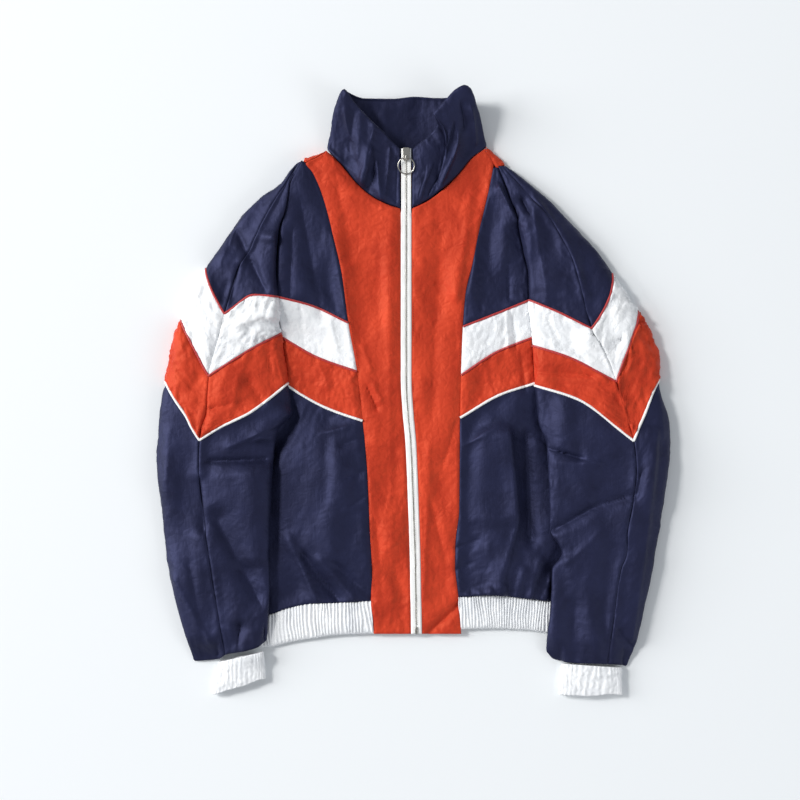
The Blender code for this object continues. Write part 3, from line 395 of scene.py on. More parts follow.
# Creases: start x, y, end x, y, height, half width to the left of the line and to its right.
FRONT_CREASES = (
    # lower front, wearer's right
    (-107, -64, -114, -241, 5, 42, 32), (-171, -193, -130, -284, 3, 7, 7),
    (-152, -216, -100, -286, -3.5, 6, 6), (-130, -222, -78, -284, 2.5, 6, 7),
    (-108, -230, -54, -282, -2, 6, 6), (-127, -56, -86, -45, 1.8, 6, 8),
    (-100, -72, -65, -59, -1.5, 5, 5), (-93, -116, -65, -105, -1.2, 5, 5),
    (-84, -152, -65, -140, -1.2, 4, 5),
    # lower front, left
    (129, -48, 142, -173, 5, 9, 42), (142, -173, 112, -284, 4, 9, 30),
    (154, -50, 160, -207, -4, 10, 10), (150, -238, 137, -290, 3, 7, 7), (173, -225, 157, -284, 4, 9, 8),
    (124, -260, 119, -290, 2.5, 4, 4), (104, -263, 105, -290, 2.5, 4, 4), (89, -268, 92, -290, 2, 4, 4),
    (74, -273, 75, -290, 1.5, 4, 4), (186, -248, 177, -287, 3, 6, 6), (56, -211, 88, -200, -1.2, 4, 4),
    (56, -241, 80, -231, -1, 4, 4), (69, -72, 120, -42, 1.3, 6, 5),
    # centre fronts
    (-65, 12, -48, -25, -2, 4, 5), (-55, 13, -43, -14, 1.5, 3, 5), (-70, 65, -56, 28, 1.2, 5, 7),
    (-100, 215, -56, -302, 1.2, 12, 14), (-35, 178, -29, -282, 1, 8, 12),
    (-103, 281, -84, 178, -1.6, 8, 9), (-56, -75, -21, -80, -1, 4, 5),
    (-51, -173, -40, -282, -1.2, 6, 6), (65, -286, 20, -328, -2.6, 6, 6),
    (36, 232, 25, -37, -1.2, 10, 10), (77, 265, 58, 126, 1.6, 7, 9), (16, -116, 44, -227, -1.3, 6, 7),
    (59, -37, 39, -102, -1, 5, 5), (22, -64, 14, -282, 1.2, 6, 10),
    # yokes and bands
    (-166, 330, -190, 90, 5.5, 52, 14), (-154, 262, -124, 99, -2, 12, 10), (-164, 224, -167, 132, -2, 7, 8),
    (-111, 219, -92, 110, 1.3, 8, 10), (115, 283, 141, 230, 4, 5, 11), (129, 178, 130, 126, -1.4, 4, 4),
    (90, 262, 77, 126, 1.2, 9, 10), (-154, 118, -148, 65, -1, 5, 5), (-114, 102, -103, 58, 1, 5, 6),
    (-130, 45, -114, 4, 1.2, 5, 7), (135, 105, 139, 58, -1.6, 3, 3), (126, 110, 129, 56, 1, 3, 3),
    (145, 58, 153, 1, -1.2, 4, 4),
)
SLEEVE_CREASES = (
    # right sleeve
    (-157, 298, -186, 204, 4.5, 7, 24), (-186, 214, -190, 98, 5.5, 6, 22),
    (-241, 222, -198, 135, -3.5, 7, 9), (-236, 173, -247, 126, -2.5, 4, 6),
    (-222, 269, -260, 178, 2, 9, 10), (-245, 232, -252, 192, -2, 7, 6),
    (-251, 151, -260, 124, -2, 5, 5), (-187, 132, -199, 105, -2.5, 5, 6),
    (-244, 88, -192, 110, 1.6, 6, 8), (-236, 28, -244, -21, 2.2, 6, 8),
    (-226, 20, -203, -16, -2.6, 5, 7), (-190, 65, -175, 9, 3, 5, 14), (-198, 56, -192, 26, -2, 3, 3),
    (-277, -21, -228, -12, -1.8, 4, 5), (-289, 28, -304, -1, -2, 6, 6), (-315, 72, -326, 9, 1.6, 7, 8),
    (-252, -74, -160, -33, 3, 14, 7), (-160, -26, -187, -75, 4.5, 6, 34),
    (-217, -65, -167, -55, 2.4, 7, 5), (-282, -93, -197, -90, -3.2, 3.5, 3),
    (-195, -97, -177, -225, 7, 8, 46), (-271, -162, -206, -287, -5, 20, 12),
    (-187, -317, -197, -365, 4, 5, 16), (-235, -312, -240, -358, -4, 9, 6),
    (-289, -116, -284, -189, -3, 5, 12), (-327, -248, -265, -358, 2.2, 5, 8),
    (-331, -50, -337, -146, 1.5, 8, 8), (-304, -227, -284, -336, -1.5, 6, 6),
    # left sleeve
    (141, 231, 150, 137, 3.5, 16, 4), (146, 266, 158, 241, -4, 6, 6), (161, 257, 180, 126, 2.6, 14, 8),
    (199, 228, 237, 126, 1.6, 8, 12), (182, 102, 194, 72, -1.8, 3, 3), (240, 79, 262, 56, -1.5, 3, 3),
    (262, 56, 284, 72, -1.8, 3, 3), (161, 28, 243, 23, -2.4, 5, 4), (199, 11, 254, 7, -1.2, 5, 5),
    (182, -75, 229, -89, -3.6, 3, 4), (188, -94, 254, -94, 2, 4, 16),
    (187, -188, 254, -150, -4.2, 8, 5), (254, -150, 300, -137, -2.4, 6, 5),
    (188, -192, 207, -230, 3, 10, 4), (207, -230, 254, -186, 1.6, 6, 10),
    (330, -50, 315, -200, 4, 6, 30), (315, -200, 297, -336, 3, 6, 24),
    (308, -105, 300, -146, -1.5, 5, 5), (220, -282, 213, -350, -1.2, 8, 8),
    (278, -322, 308, -356, -2.5, 5, 5), (335, -3, 339, -64, 1.5, 4, 8),
)

# Piping stands proud of its seam by this share of its radius, and its radius wanders by the slub. On a
# front it starts a little way out. Points along a front's and along a sleeve's.
PIPING_LIFT = 0.25
PIPING_SLUB = 0.05
PIPING_START = 0.003
PIPING_POINTS = (150, 220)
# Half length, half width and height of a stitch, and its distance from the panel's seam and the zip.
STITCH_SIZE = (1.15, 0.32, 0.3)
STITCH_LIFT = 0.1
EDGE_STITCH = 3.2
ZIP_STITCH = 2.4
# Ends in y of the stitches beside the panel's seam and beside the zip, and points on each path.
EDGE_STITCHED = (300, -322, 400)
ZIP_STITCHED = (246, -324, 380)

FLOOR_HALF = 30000
FLOOR_LEVEL = -0.4
# Centre of the picture on the floor.
PICTURE_CENTRE = (-18.4, -9.7)
# Height in metres at which the view's width is taken.
VIEW_LEVEL = 0.012
# Name, place in metres, side in metres, power in watts, colour.
LAMPS = (
    ("key", (-5.6, 2.5, 5.6), 1.5, 385.0, (1.0, 0.99, 0.97)),
    ("low soft box", (-9.0, 1.5, 3.75), 4.8, 640.0, (0.98, 0.99, 1.0)),
    ("fill", (3.2, -1.6, 2.4), 2.0, 30.0, (0.95, 0.98, 1.0)),
)
SKY = "#eef2f8"
SKY_STRENGTH = 0.4


def smooth(rows, column=1):
    """Monotone cubic curve through a table: a column's value against the first column."""
    table = np.array(sorted(rows), dtype=float)
    at = table[:, 0]
    value = table[:, column]
    step = np.diff(at)
    slope = np.diff(value) / step
    tangent = np.concatenate(([slope[0]], np.zeros(len(slope) - 1), [slope[-1]]))
    before = slope[:-1]
    after = slope[1:]
    turning = before * after <= 0
    total = np.where(turning, 1.0, before + after)
    tangent[1:-1] = np.where(turning, 0.0, 2 * before * after / total)

    def read(place):
        place = np.clip(place, at[0], at[-1])
        k = np.clip(np.searchsorted(at, place) - 1, 0, len(step) - 1)
        t = (place - at[k]) / step[k]
        rest = 1 - t
        ends = value[k] * rest * rest * (1 + 2 * t) + value[k + 1] * t * t * (3 - 2 * t)
        return ends + step[k] * t * rest * (tangent[k] * rest - tangent[k + 1] * t)

    return read


def ease(t):
    """Smooth step from 0 to 1."""
    t = np.clip(t, 0, 1)
    return t * t * (3 - 2 * t)


def mix(a, b, t):
    """Straight blend from a to b."""
    return a + (b - a) * t


SIGN = {"r": -1, "l": 1}
panel_edge = {side: smooth(PANEL_EDGE[side]) for side in SIGN}
neck = {side: smooth(NECK[side]) for side in SIGN}
body_side = {side: smooth(ARMHOLE[side] + SIDE_SEAM[side]) for side in SIGN}
sleeve_inner = {side: smooth(ARMHOLE[side] + SLEEVE_INNER[side]) for side in SIGN}
sleeve_outer = {side: smooth(SLEEVE[side], 1) for side in SIGN}
sleeve_seam = {side: smooth(SLEEVE[side], 2) for side in SIGN}
sleeve_crown = {side: smooth(SLEEVE[side], 3) for side in SIGN}
sleeve_end = {side: smooth(SLEEVE_END[side]) for side in SIGN}
hem_top = smooth(HEM, 1)
hem_bottom = smooth(HEM, 2)
back_neck = smooth(BACK_NECK)
edge_height = smooth(FRONT_HEIGHT, 1)
middle_height = smooth(FRONT_HEIGHT, 2)
zip_line = smooth(ZIP_LINE)


def crease(folds, x, y):
    """Height of a table of creases. Each follows a line and dies out at its ends; across it the height
    falls off as exp(-(distance / half width) ** power), with its own half width on either side. The
    power runs from 0.95 for narrow, sharp creases to 1.4 for wide, soft ones."""
    height = np.zeros(np.broadcast(x, y).shape)
    for x0, y0, x1, y1, rise, left, right in folds:
        length = math.hypot(x1 - x0, y1 - y0)
        along = ((x - x0) * (x1 - x0) + (y - y0) * (y1 - y0)) / length
        across = ((y - y0) * (x1 - x0) - (x - x0) * (y1 - y0)) / length
        fade = min(length / 2, 2 * min(left, right) + 4)
        ends = ease(0.5 + along / fade) * ease(0.5 + (length - along) / fade)
        width = np.where(across > 0, left, right)
        power = 0.95 + 0.45 * min(1, min(left, right) / 14)
        height = height + CREASE_GAIN * rise * ends * np.exp(-np.abs(across / width) ** power)
    return height


def chance(i, j, seed):
    """Even value from 0 to 1 for each whole-number cell, the same on every run."""
    mixed = i.astype(np.int64) * 374761393 + j.astype(np.int64) * 668265263 + seed * 2147483647
    mixed = mixed & 0xFFFFFFFF
    mixed = ((mixed ^ (mixed >> 13)) * 1274126177) & 0xFFFFFFFF
    return ((mixed ^ (mixed >> 16)) & 0xFFFFFF) / 0xFFFFFF


def noise(x, y, seed):
    """Smooth noise from -1 to 1: cell values blended with a smooth step in both directions."""
    i, j = np.floor(x), np.floor(y)
    s, t = ease(x - i), ease(y - j)
    low = mix(chance(i, j, seed), chance(i + 1, j, seed), s)
    high = mix(chance(i, j + 1, seed), chance(i + 1, j + 1, seed), s)
    return 2 * mix(low, high, t) - 1


def crumple(x, y, size, seed):
    """Crumpled cloth from -1 to 1: three octaves of 1 - 2 |noise|, each turned and bent by other noise,
    so that sharp crests enclose flat facets about one size across."""
    total = np.zeros(np.broadcast(x, y).shape)
    weight = 1.0
    for octave in range(3):
        angle = 0.9 * octave + 0.4
        u = (x * math.cos(angle) - y * math.sin(angle)) / size
        v = (x * math.sin(angle) + y * math.cos(angle)) / size
        bend = noise(u * 0.6 + 7.3, v * 0.6 - 2.1, seed + 11 * octave)
        total = total + weight * (1 - 2 * np.abs(noise(u + bend, v - 0.8 * bend, seed + octave)))
        weight *= 0.55
        size *= 0.55
    return total / 1.85


def gathers(s, v, count, seed):
    """Pleats of gathered cloth along a share s, from -1 to 1: a cosine whose phase and depth wander, and
    wander differently from edge to edge, so that pleats lean, merge and die out."""
    at = s * count
    phase = at + 0.55 * noise(at / 4, v * 1.3, seed) + 0.3 * noise(at / 1.6, v * 2.1 + 5, seed + 1)
    depth = 0.62 + 0.38 * noise(at / 2.2, v * 1.7 + 9, seed + 2)
    return depth * np.cos(2 * np.pi * phase)


def front_plain(x, y):
    """Height of the fronts without creases: level over the chest, lower towards each side."""
    right = 1 - np.exp(-np.maximum(x - body_side["r"](y), 0) / SIDE_RUN)
    left = 1 - np.exp(-np.maximum(body_side["l"](y) - x, 0) / SIDE_RUN)
    return mix(edge_height(y), middle_height(y), right * left)


def front_height(x, y, creased=True):
    """Height of the fronts' outer face, with creases and the gathers that rise from the hem."""
    plain = front_plain(x, y)
    if not creased:
        return plain
    above = np.maximum(y - hem_top(x), 0)
    pleats = GATHER_RISE * gathers(x / GATHER_PITCH, above / GATHER_DRIFT, 1, 5)
    middle, half, run = UNGATHERED
    beside = ease((np.abs(x - middle) - half) / run)
    return plain + crease(FRONT_CREASES, x, y) + pleats * np.exp(-above / GATHER_REACH) * beside


def under_height(side, x, y):
    """Height of the surface that a sleeve lies on: the body near its edge, else the floor."""
    inside = -SIGN[side] * (x - body_side[side](y))
    over = front_plain(x, y) + LAYER_GAP
    share = ease(1 + inside / UNDER_RAMP)
    share = share * ease((UNDERARM_TOP[side] - y) / UNDERARM_RUN)
    return over * share * ease((y - HEM_CORNER) / HEM_CORNER_RUN)


def sleeve_x(side, r, y):
    """x of a point at share r of the sleeve's width."""
    return mix(sleeve_inner[side](y), sleeve_outer[side](y), r)


def station(turn):
    """Place round the sleeve for a turn of the section: 0 inner fold, 1 overarm seam, 2 outer fold,
    3 inner fold again along the underside, and below 0 the underside next to the inner fold."""
    r = (1 - np.cos(np.pi * turn)) / 2
    seam = (1 - math.cos(math.pi * OVERARM_TURN)) / 2
    top = np.where(turn < OVERARM_TURN, r / seam, 1 + (r - seam) / (1 - seam))
    return np.where(turn < 0, -r / UNDERARM_SEAM, np.where(turn > 1, 3 - r, top))


def width_share(side, place, y):
    """Share of the sleeve's width at a place round it."""
    seam = sleeve_seam[side](y)
    top = np.where(place < 1, place * seam, seam + (place - 1) * (1 - seam))
    return np.where(place < 0, -place * UNDERARM_SEAM, np.where(place > 2, 3 - place, top))


def end_height(side, x, low, flat, is_top):
    """Height at the sleeve's end: as thick as the cuff where it joins, pressed flat beside it."""
    inner, outer = CUFF[side][0][0], CUFF[side][1][0]
    share = np.clip((x - inner) / (outer - inner), 0, 1)
    swell = 2 * np.sqrt(share * (1 - share))
    rise = (CUFF_TOP_HEIGHT - CORNER_HEIGHT) * swell ** CROWN_POWER
    fold = low + CORNER_HEIGHT / 2
    return np.where(is_top, mix(fold, low + CORNER_HEIGHT, flat) + rise, mix(fold, low, flat))


def sleeve_point(side, place, y, creased=True):
    """Point on the sleeve's outer face, from its place round the sleeve and its y."""
    r = width_share(side, place, y)
    x = sleeve_x(side, r, y)
    swell = 2 * np.sqrt(np.clip(r * (1 - r), 0, 0.25))
    low = under_height(side, x, y)
    sewn = ease((y - FREE_FOLD) / FREE_RUN)
    fold = under_height(side, sleeve_inner[side](y), y) + SLEEVE_FOLD_HEIGHT - FOLD_SINK
    armhole = edge_height(y)
    if creased:
        armhole = armhole + crease(FRONT_CREASES, sleeve_inner[side](y), y)
    inner = mix(fold, armhole, sewn)
    edge = mix(inner, SLEEVE_FOLD_HEIGHT, r)
    crown = sleeve_crown[side](y)
    if creased:
        crown = crown + crease(SLEEVE_CREASES, x, y)
    top = edge + (crown - edge) * swell ** CROWN_POWER
    flat = np.clip(PRESS * np.sqrt(swell), 0, 1)
    under_edge = mix(mix(inner, low, sewn), SLEEVE_FOLD_HEIGHT, r)
    under = mix(under_edge, low, flat)
    is_top = (place >= 0) & (place <= 2)
    closing = ease((y - sleeve_end[side](r)) / END_RUN)
    z = mix(end_height(side, x, low, flat, is_top), np.where(is_top, top, under), closing)
    if creased:
        above = np.maximum(y - sleeve_end[side](r), 0)
        pleats = CUFF_GATHER * gathers(r, above / GATHER_DRIFT, 7, 31) * np.exp(-above / GATHER_REACH)
        z = z + np.where(is_top, pleats * swell, 0)
    return np.stack(np.broadcast_arrays(x, y, z), axis=-1)


def sleeve_line(side, name, place):
    """y of a chevron seam, or of the sleeve's top or bottom edge, at a place round the sleeve."""
    if name == "top":
        return CAP_TOP[side] + 0 * place
    if name == "end":
        r = width_share(side, place, SLEEVE_FOOT)
        return sleeve_end[side](r)
    armhole, half, apex, outer = SLEEVE_LINES[side][name]
    front = smooth(((0, armhole), (0.5, half), (1, apex)))(place)
    back = mix(apex, outer, place - 1)
    r = width_share(side, place, apex)
    under = mix(armhole, outer, r)
    return np.where((place < 0) | (place > 2), under, np.where(place < 1, front, back))


def cuff_point(side, r, is_top, v):
    """Point on the cuff's outer face, v down from the sleeve, with its gathers."""
    in_top, out_top, in_end, out_end = (np.array(corner, float) for corner in CUFF[side])
    v = np.asarray(v, float)[..., None]
    inner = mix(in_top, in_end, v)
    outer = mix(out_top, out_end, v)
    plan = mix(inner, outer, r[..., None])
    swell = 2 * np.sqrt(np.clip(r * (1 - r), 0, 0.25))
    share = np.arccos(1 - 2 * np.clip(r, 0, 1)) / np.pi
    wave = CUFF_WAVE * swell * gathers(share, v[..., 0], CUFF_GATHERS, 41 + SIGN[side])
    low = under_height(side, plan[..., 0], plan[..., 1])
    crown = low + mix(CUFF_TOP_HEIGHT, CUFF_END_HEIGHT, v[..., 0])
    edge = low + CUFF_FOLD_HEIGHT
    top = edge + (crown - edge) * swell ** CROWN_POWER + wave
    flat = np.clip(PRESS * np.sqrt(swell), 0, 1)
    under = mix(edge, low, flat) + np.maximum(wave, 0)
    z = np.where(is_top, top, under)
    return np.concatenate([plan, z[..., None]], axis=-1)


def squared(value, power):
    """A value whose size is raised to a power, with its sign kept. Below 1 it makes a circle squarer."""
    return np.sign(value) * np.abs(value) ** power


def unit(vectors):
    """Vectors divided by their lengths."""
    return vectors / np.maximum(np.linalg.norm(vectors, axis=-1, keepdims=True), 1e-9)


def outward(grid, flip, ring=False):
    """Unit normals of a grid: its two directions' cross product, turned round where flip says so. The
    first direction closes on itself for a ring."""
    if ring:
        along = np.roll(grid, -1, axis=0) - np.roll(grid, 1, axis=0)
    else:
        along = np.gradient(grid, axis=0)
    return unit(np.cross(along, np.gradient(grid, axis=1))) * (-1 if flip else 1)


def shares(columns, rows):
    """Even shares across and down a grid, as two arrays of its shape."""
    return np.meshgrid(np.linspace(0, 1, columns + 1), np.linspace(0, 1, rows + 1), indexing="ij")


def steps(length, pitch):
    """Shares along a length: even cells, and shorter ones at both ends where the cloth dips to a seam."""
    ends = np.array(EDGE_CELLS) / length
    count = max(2, round((length - 2 * EDGE_CELLS[-1]) / pitch))
    middle = np.linspace(ends[-1], 1 - ends[-1], count + 1)
    return np.concatenate([(0.0,), ends[:-1], middle, 1 - ends[-2::-1], (1.0,)])


def walked(grid, axis):
    """Way from the start along a grid's lines, and each line's whole length."""
    way = np.cumsum(np.linalg.norm(np.diff(grid, axis=axis), axis=-1), axis=axis)
    start = np.zeros_like(np.take(way, [0], axis=axis))
    way = np.concatenate([start, way], axis=axis)
    return way, np.take(way, [-1], axis=axis)


def finish_cloth(grid, out, height, size, seed):
    """Crinkle a piece: grid + out * ((height * facets + swell) * calm - dip). Facets are crumple at two
    sizes, times noise that makes patches, and higher next to the border. The swell is slow noise, times
    the square of how much the cloth looks up. Calm fades both out at the border, where the cloth dips
    into its seam; both are Gaussians of the distance to it."""
    far = np.full(grid.shape[:2], np.inf)
    for axis in (0, 1):
        way, whole = walked(grid, axis)
        far = np.minimum(far, np.minimum(way, whole - way))
    u = grid[..., 0] + SLANT[0] * grid[..., 2]
    v = grid[..., 1] - SLANT[1] * grid[..., 2]
    wide, fine = FACET_SQUEEZE
    pull = 1 + PUCKER * np.exp(-far / PUCKER_REACH)
    patch = PATCH[0] + PATCH[1] * noise(u / PATCH_SIZE[0], v / PATCH_SIZE[1], seed + 9)
    facets = crumple(u, v * wide, size, seed)
    facets = facets + FINE_HEIGHT * crumple(u, v * fine, size * FINE_SIZE, seed + 50)
    level = np.clip(out[..., 2], 0, 1) ** 2 * (1 - np.exp(-(far / SWELL_REACH) ** 2))
    bend, reach = SWELL_BEND
    across = u / SWELL_SIZE[0] + bend * noise(u / reach, v / reach, seed)
    swell = SWELL * level * noise(across, v / SWELL_SIZE[1], seed + 70)
    calm = 1 - np.exp(-(far / CALM_REACH) ** 2)
    dip = SEAM_DIP * np.exp(-(far / SEAM_REACH) ** 2)
    return grid + out * ((height * pull * patch * facets + swell) * calm - dip)[..., None]


def front_line(side, name, s):
    """y of a seam across a front; s runs from the centre front panel to the side."""
    if name == "top":
        near, half, far = YOKE_TOP[side]
    elif name == "hem":
        return hem_top(front_x(side, s, HEM_SEAM))
    else:
        near, half, far = FRONT_LINES[side][name]
    return smooth(((0, near), (0.5, half), (1, far)))(s)


def front_x(side, s, y):
    """x across a front, from the centre front panel to the body's side, a little under the sleeve."""
    start, start_run = UNDERLAP_START
    end, end_run = UNDERLAP_END
    reach = SIGN[side] * UNDERLAP * ease((start - y) / start_run)
    reach = reach * ease((y - end) / end_run)
    return mix(panel_edge[side](y), body_side[side](y) + reach, s)


def front_grid(side, upper, lower, s, v, creased=True):
    """Outer face of a front piece between two seams, at shares s across and v down."""
    s, v = s[:, None], v[None, :]
    y = mix(front_line(side, upper, s), front_line(side, lower, s), v)
    x = front_x(side, s, y)
    return np.stack([x, y, front_height(x, y, creased)], axis=-1)


def centre_front_grid(side, s, v, creased=True):
    """Outer face of a centre front panel: its inner edge is the neck seam, then the zip."""
    s, v = s[:, None], v[None, :]
    y = mix(float(NECK[side][0][0]), float(ZIP_END), v)
    zip_edge = zip_line(y) + SIGN[side] * ZIP_OPENING
    inner = np.where(y > NECK_FOOT, neck[side](y), zip_edge)
    x = mix(inner, panel_edge[side](y), s)
    y = y + 0 * s
    return np.stack([x, y, front_height(x, y, creased)], axis=-1)


def back_grid(upper, lower, s, v):
    """Outer face of a back piece, flat on the floor, between two lines read at the shares s."""
    s, v = s[:, None], v[None, :]
    y = mix(upper(s), lower(s), v)
    x = mix(body_side["r"](y), body_side["l"](y), s)
    return np.stack([x, y, 0 * x], axis=-1)


def back_yoke_grid(s, v):
    """Outer face of the back yoke, from the neck and shoulders down to a level seam."""
    s, v = s[:, None], v[None, :]
    top_x = mix(float(BACK_NECK[0][0]), float(BACK_NECK[-1][0]), s)
    low_x = mix(body_side["r"](BACK_YOKE_END), body_side["l"](BACK_YOKE_END), s)
    x = mix(top_x, low_x, v)
    y = mix(back_neck(top_x), BACK_YOKE_END, v)
    return np.stack([x, y, 0 * x], axis=-1)


def back_line(name):
    """A chevron seam of the back as a function of the share across it."""
    right, middle, left = BACK_LINES[name]
    return lambda s: np.where(s < 0.5, mix(right, middle, 2 * s), mix(middle, left, 2 * s - 1))


def sleeve_grid(side, turns, upper, lower, v, creased=True):
    """Outer face of one half of a sleeve's piece between two seams."""
    place = station(turns)[:, None]
    y = mix(sleeve_line(side, upper, place), sleeve_line(side, lower, place), v[None, :])
    return sleeve_point(side, place, y, creased)


def cuff_grid(side, columns, rows):
    """Outer face of a cuff, once round: over the top from inner to outer fold and back below."""
    turn = np.linspace(0, 2, columns + 1)[:-1, None]
    r = (1 - np.cos(np.pi * turn)) / 2
    r, v, turn = np.broadcast_arrays(r, np.linspace(0, 1, rows + 1)[None, :], turn)
    grid = cuff_point(side, r, turn <= 1, v)
    frill = noise(turn * 9, v * 2, 77 + SIGN[side]) * CUFF_FRILL * v
    return grid + np.stack([0 * v, frill, 0 * v], axis=-1)


def hem_front_grid(side, columns, rows):
    """Outer face of a front hem piece: gathered, a little full, and rolled under at its foot."""
    s, v = shares(columns, rows)
    x = front_x(side, s, HEM_MIDDLE)
    pleats = gathers(s, v, HEM_GATHERS, 61 + SIGN[side])
    y = mix(hem_top(x) + 0.5 * pleats, hem_bottom(x) + 0.6 * pleats, v)
    x = front_x(side, s, y)
    full = HEM_FULL * np.sin(np.pi * np.clip(v, 0, 1)) ** 0.6
    roll = -HEM_ROLL * np.clip((v - HEM_ROLL_START) / (1 - HEM_ROLL_START), 0, 1) ** 2
    z = front_plain(x, y) + full + roll + HEM_WAVE * pleats * (1 - 0.5 * v ** 8)
    return np.stack([x, y, z], axis=-1)


def hem_back_grid(columns, rows):
    """Outer face of the back hem: its gathers lift off the floor."""
    s, v = shares(columns, rows)
    x = mix(body_side["r"](HEM_MIDDLE), body_side["l"](HEM_MIDDLE), s)
    y = mix(hem_top(x), hem_bottom(x), v)
    x = mix(body_side["r"](y), body_side["l"](y), s)
    wave = HEM_WAVE * 0.4 * (1 + gathers(s, v, HEM_BACK_GATHERS, 71))
    return np.stack([x, y, wave], axis=-1)


def shoulder_grid(side, columns, turns):
    """Outer face of a shoulder piece: front seam, over the fold, back seam on the floor."""
    at = np.linspace(0, 1, columns + 1)
    ends = [smooth(tuple(zip((0, 0.5, 1), column)))(at) for column in zip(*SHOULDER[side])]
    fold = np.stack(ends[0:2], axis=-1)[:, None]
    front = np.stack(ends[2:4], axis=-1)[:, None]
    back = np.stack(ends[4:6], axis=-1)[:, None]
    angle = np.pi * np.linspace(0, 1, turns + 1)[None, :, None]
    start = np.where(angle <= np.pi / 2, front, back)
    plan = mix(start, fold, np.sin(angle))
    high = front_height(front[..., 0], front[..., 1])[..., None]
    rise = np.where(angle <= np.pi / 2, high - SHOULDER_FOLD_HEIGHT, SHOULDER_FOLD_HEIGHT)
    z = SHOULDER_FOLD_HEIGHT + rise * np.cos(angle)
    return np.concatenate([plan, z], axis=-1)


def collar_grid(per_section, rows, creased=True):
    """Outer face of the stand collar: sections blended along the neck, each leaning at mid-height, with
    creases placed by section and by height."""
    table = np.array(COLLAR, float)
    index = np.arange(len(table))
    at = np.linspace(0, index[-1], per_section * index[-1] + 1)
    value = [smooth(np.stack([index, column], axis=1).tolist())(at) for column in table.T]
    foot = np.stack(value[0:3], axis=-1)[:, None]
    top = np.stack(value[3:6], axis=-1)[:, None]
    lean = np.stack([value[6], 0 * at, value[7]], axis=-1)[:, None]
    v = np.linspace(0, 1, rows + 1)[None, :, None]
    grid = mix(foot, top, v) + lean * LEAN_SCALE * v * v * (1 - v)
    if creased:
        rise = crease(COLLAR_CREASES, at[:, None] * SECTION_WIDTH, v[..., 0] * COLLAR_DEPTH)
        grid = grid + outward(grid, True) * rise[..., None]
    return grid


def zip_height(y):
    """Height of the zip line: on the fronts, then up along the collar."""
    on_front = front_height(zip_line(y), np.minimum(y, NECK_FOOT))
    top = ZIP_LINE[0][0]
    return mix(on_front, ZIP_TOP_HEIGHT, np.clip((y - NECK_FOOT) / (top - NECK_FOOT), 0, 1))


def tube(path, wide, high, sides, across=None, power=1.0):
    """Rims of a cord along a path: path + wide * cosine * across + high * sine * up, square to the path.
    Across is level unless it is given, and a power below 1 makes the section squarer."""
    tangent = unit(np.gradient(path, axis=0))
    if across is None:
        across = unit(np.cross(tangent, (0.0, 0.0, 1.0)))
    across = np.broadcast_to(np.asarray(across, float), path.shape)
    up = np.cross(across, tangent)
    turn = 2 * np.pi * np.arange(sides)[:, None, None] / sides
    wide, high = (np.broadcast_to(np.asarray(half, float), (len(path),))[:, None] for half in (wide, high))
    return path + wide * squared(np.cos(turn), power) * across + high * squared(np.sin(turn), power) * up


def rounded_block(low, high, corner, narrow=1.0, sides=24, rings=10):
    """Block between two corners as a superellipsoid: sine and cosine raised to a small power, and
    narrow is how wide its low-y end is against its high-y end."""
    low, high = np.array(low, float), np.array(high, float)
    lean = np.linspace(-np.pi / 2, np.pi / 2, rings + 1)[None, :]
    turn = 2 * np.pi * np.arange(sides)[:, None] / sides
    x = squared(np.cos(turn), corner) * squared(np.cos(lean), corner)
    y = squared(np.sin(turn), corner) * squared(np.cos(lean), corner)
    z = squared(np.sin(lean), corner) + 0 * turn
    x = x * mix(narrow, 1, (y + 1) / 2)
    return (low + high) / 2 + np.stack([x, y, z], axis=-1) * (high - low) / 2


def close_poles(piece):
    """Merge the points that meet at a block's two poles."""
    shell = bmesh.new()
    shell.from_mesh(piece.data)
    bmesh.ops.remove_doubles(shell, verts=shell.verts, dist=MM / 1000)
    bmesh.ops.recalc_face_normals(shell, faces=shell.faces)
    shell.to_mesh(piece.data)
    shell.free()
    return piece


def linear(code):
    """sRGB hex colour as linear red, green, blue."""
    shares = [int(code[n:n + 2], 16) / 255 for n in (1, 3, 5)]
    return [c / 12.92 if c <= 0.04045 else ((c + 0.055) / 1.055) ** 2.4 for c in shares]


def add_node(tree, kind, inputs=None, **settings):
    """Add a node with its settings; each input is a value, or another node's output to link."""
    made = tree.nodes.new(kind)
    for name, value in settings.items():
        setattr(made, name, value)
    for name, value in (inputs or {}).items():
        socket = made.inputs[name]
        if isinstance(value, bpy.types.NodeSocket):
            tree.links.new(value, socket)
        else:
            socket.default_value = value
    return made


def new_material(name, colour, roughness, metallic=0.0):
    """Material with its colour and shader, and the piece's own coordinates."""
    material = bpy.data.materials.new(name)
    material.use_nodes = True
    tree = material.node_tree
    shader = tree.nodes["Principled BSDF"]
    shader.inputs["Base Color"].default_value = (*colour, 1)
    shader.inputs["Roughness"].default_value = roughness
    shader.inputs["Metallic"].default_value = metallic
    place = add_node(tree, "ShaderNodeTexCoord").outputs["Object"]
    return material, tree, shader, place


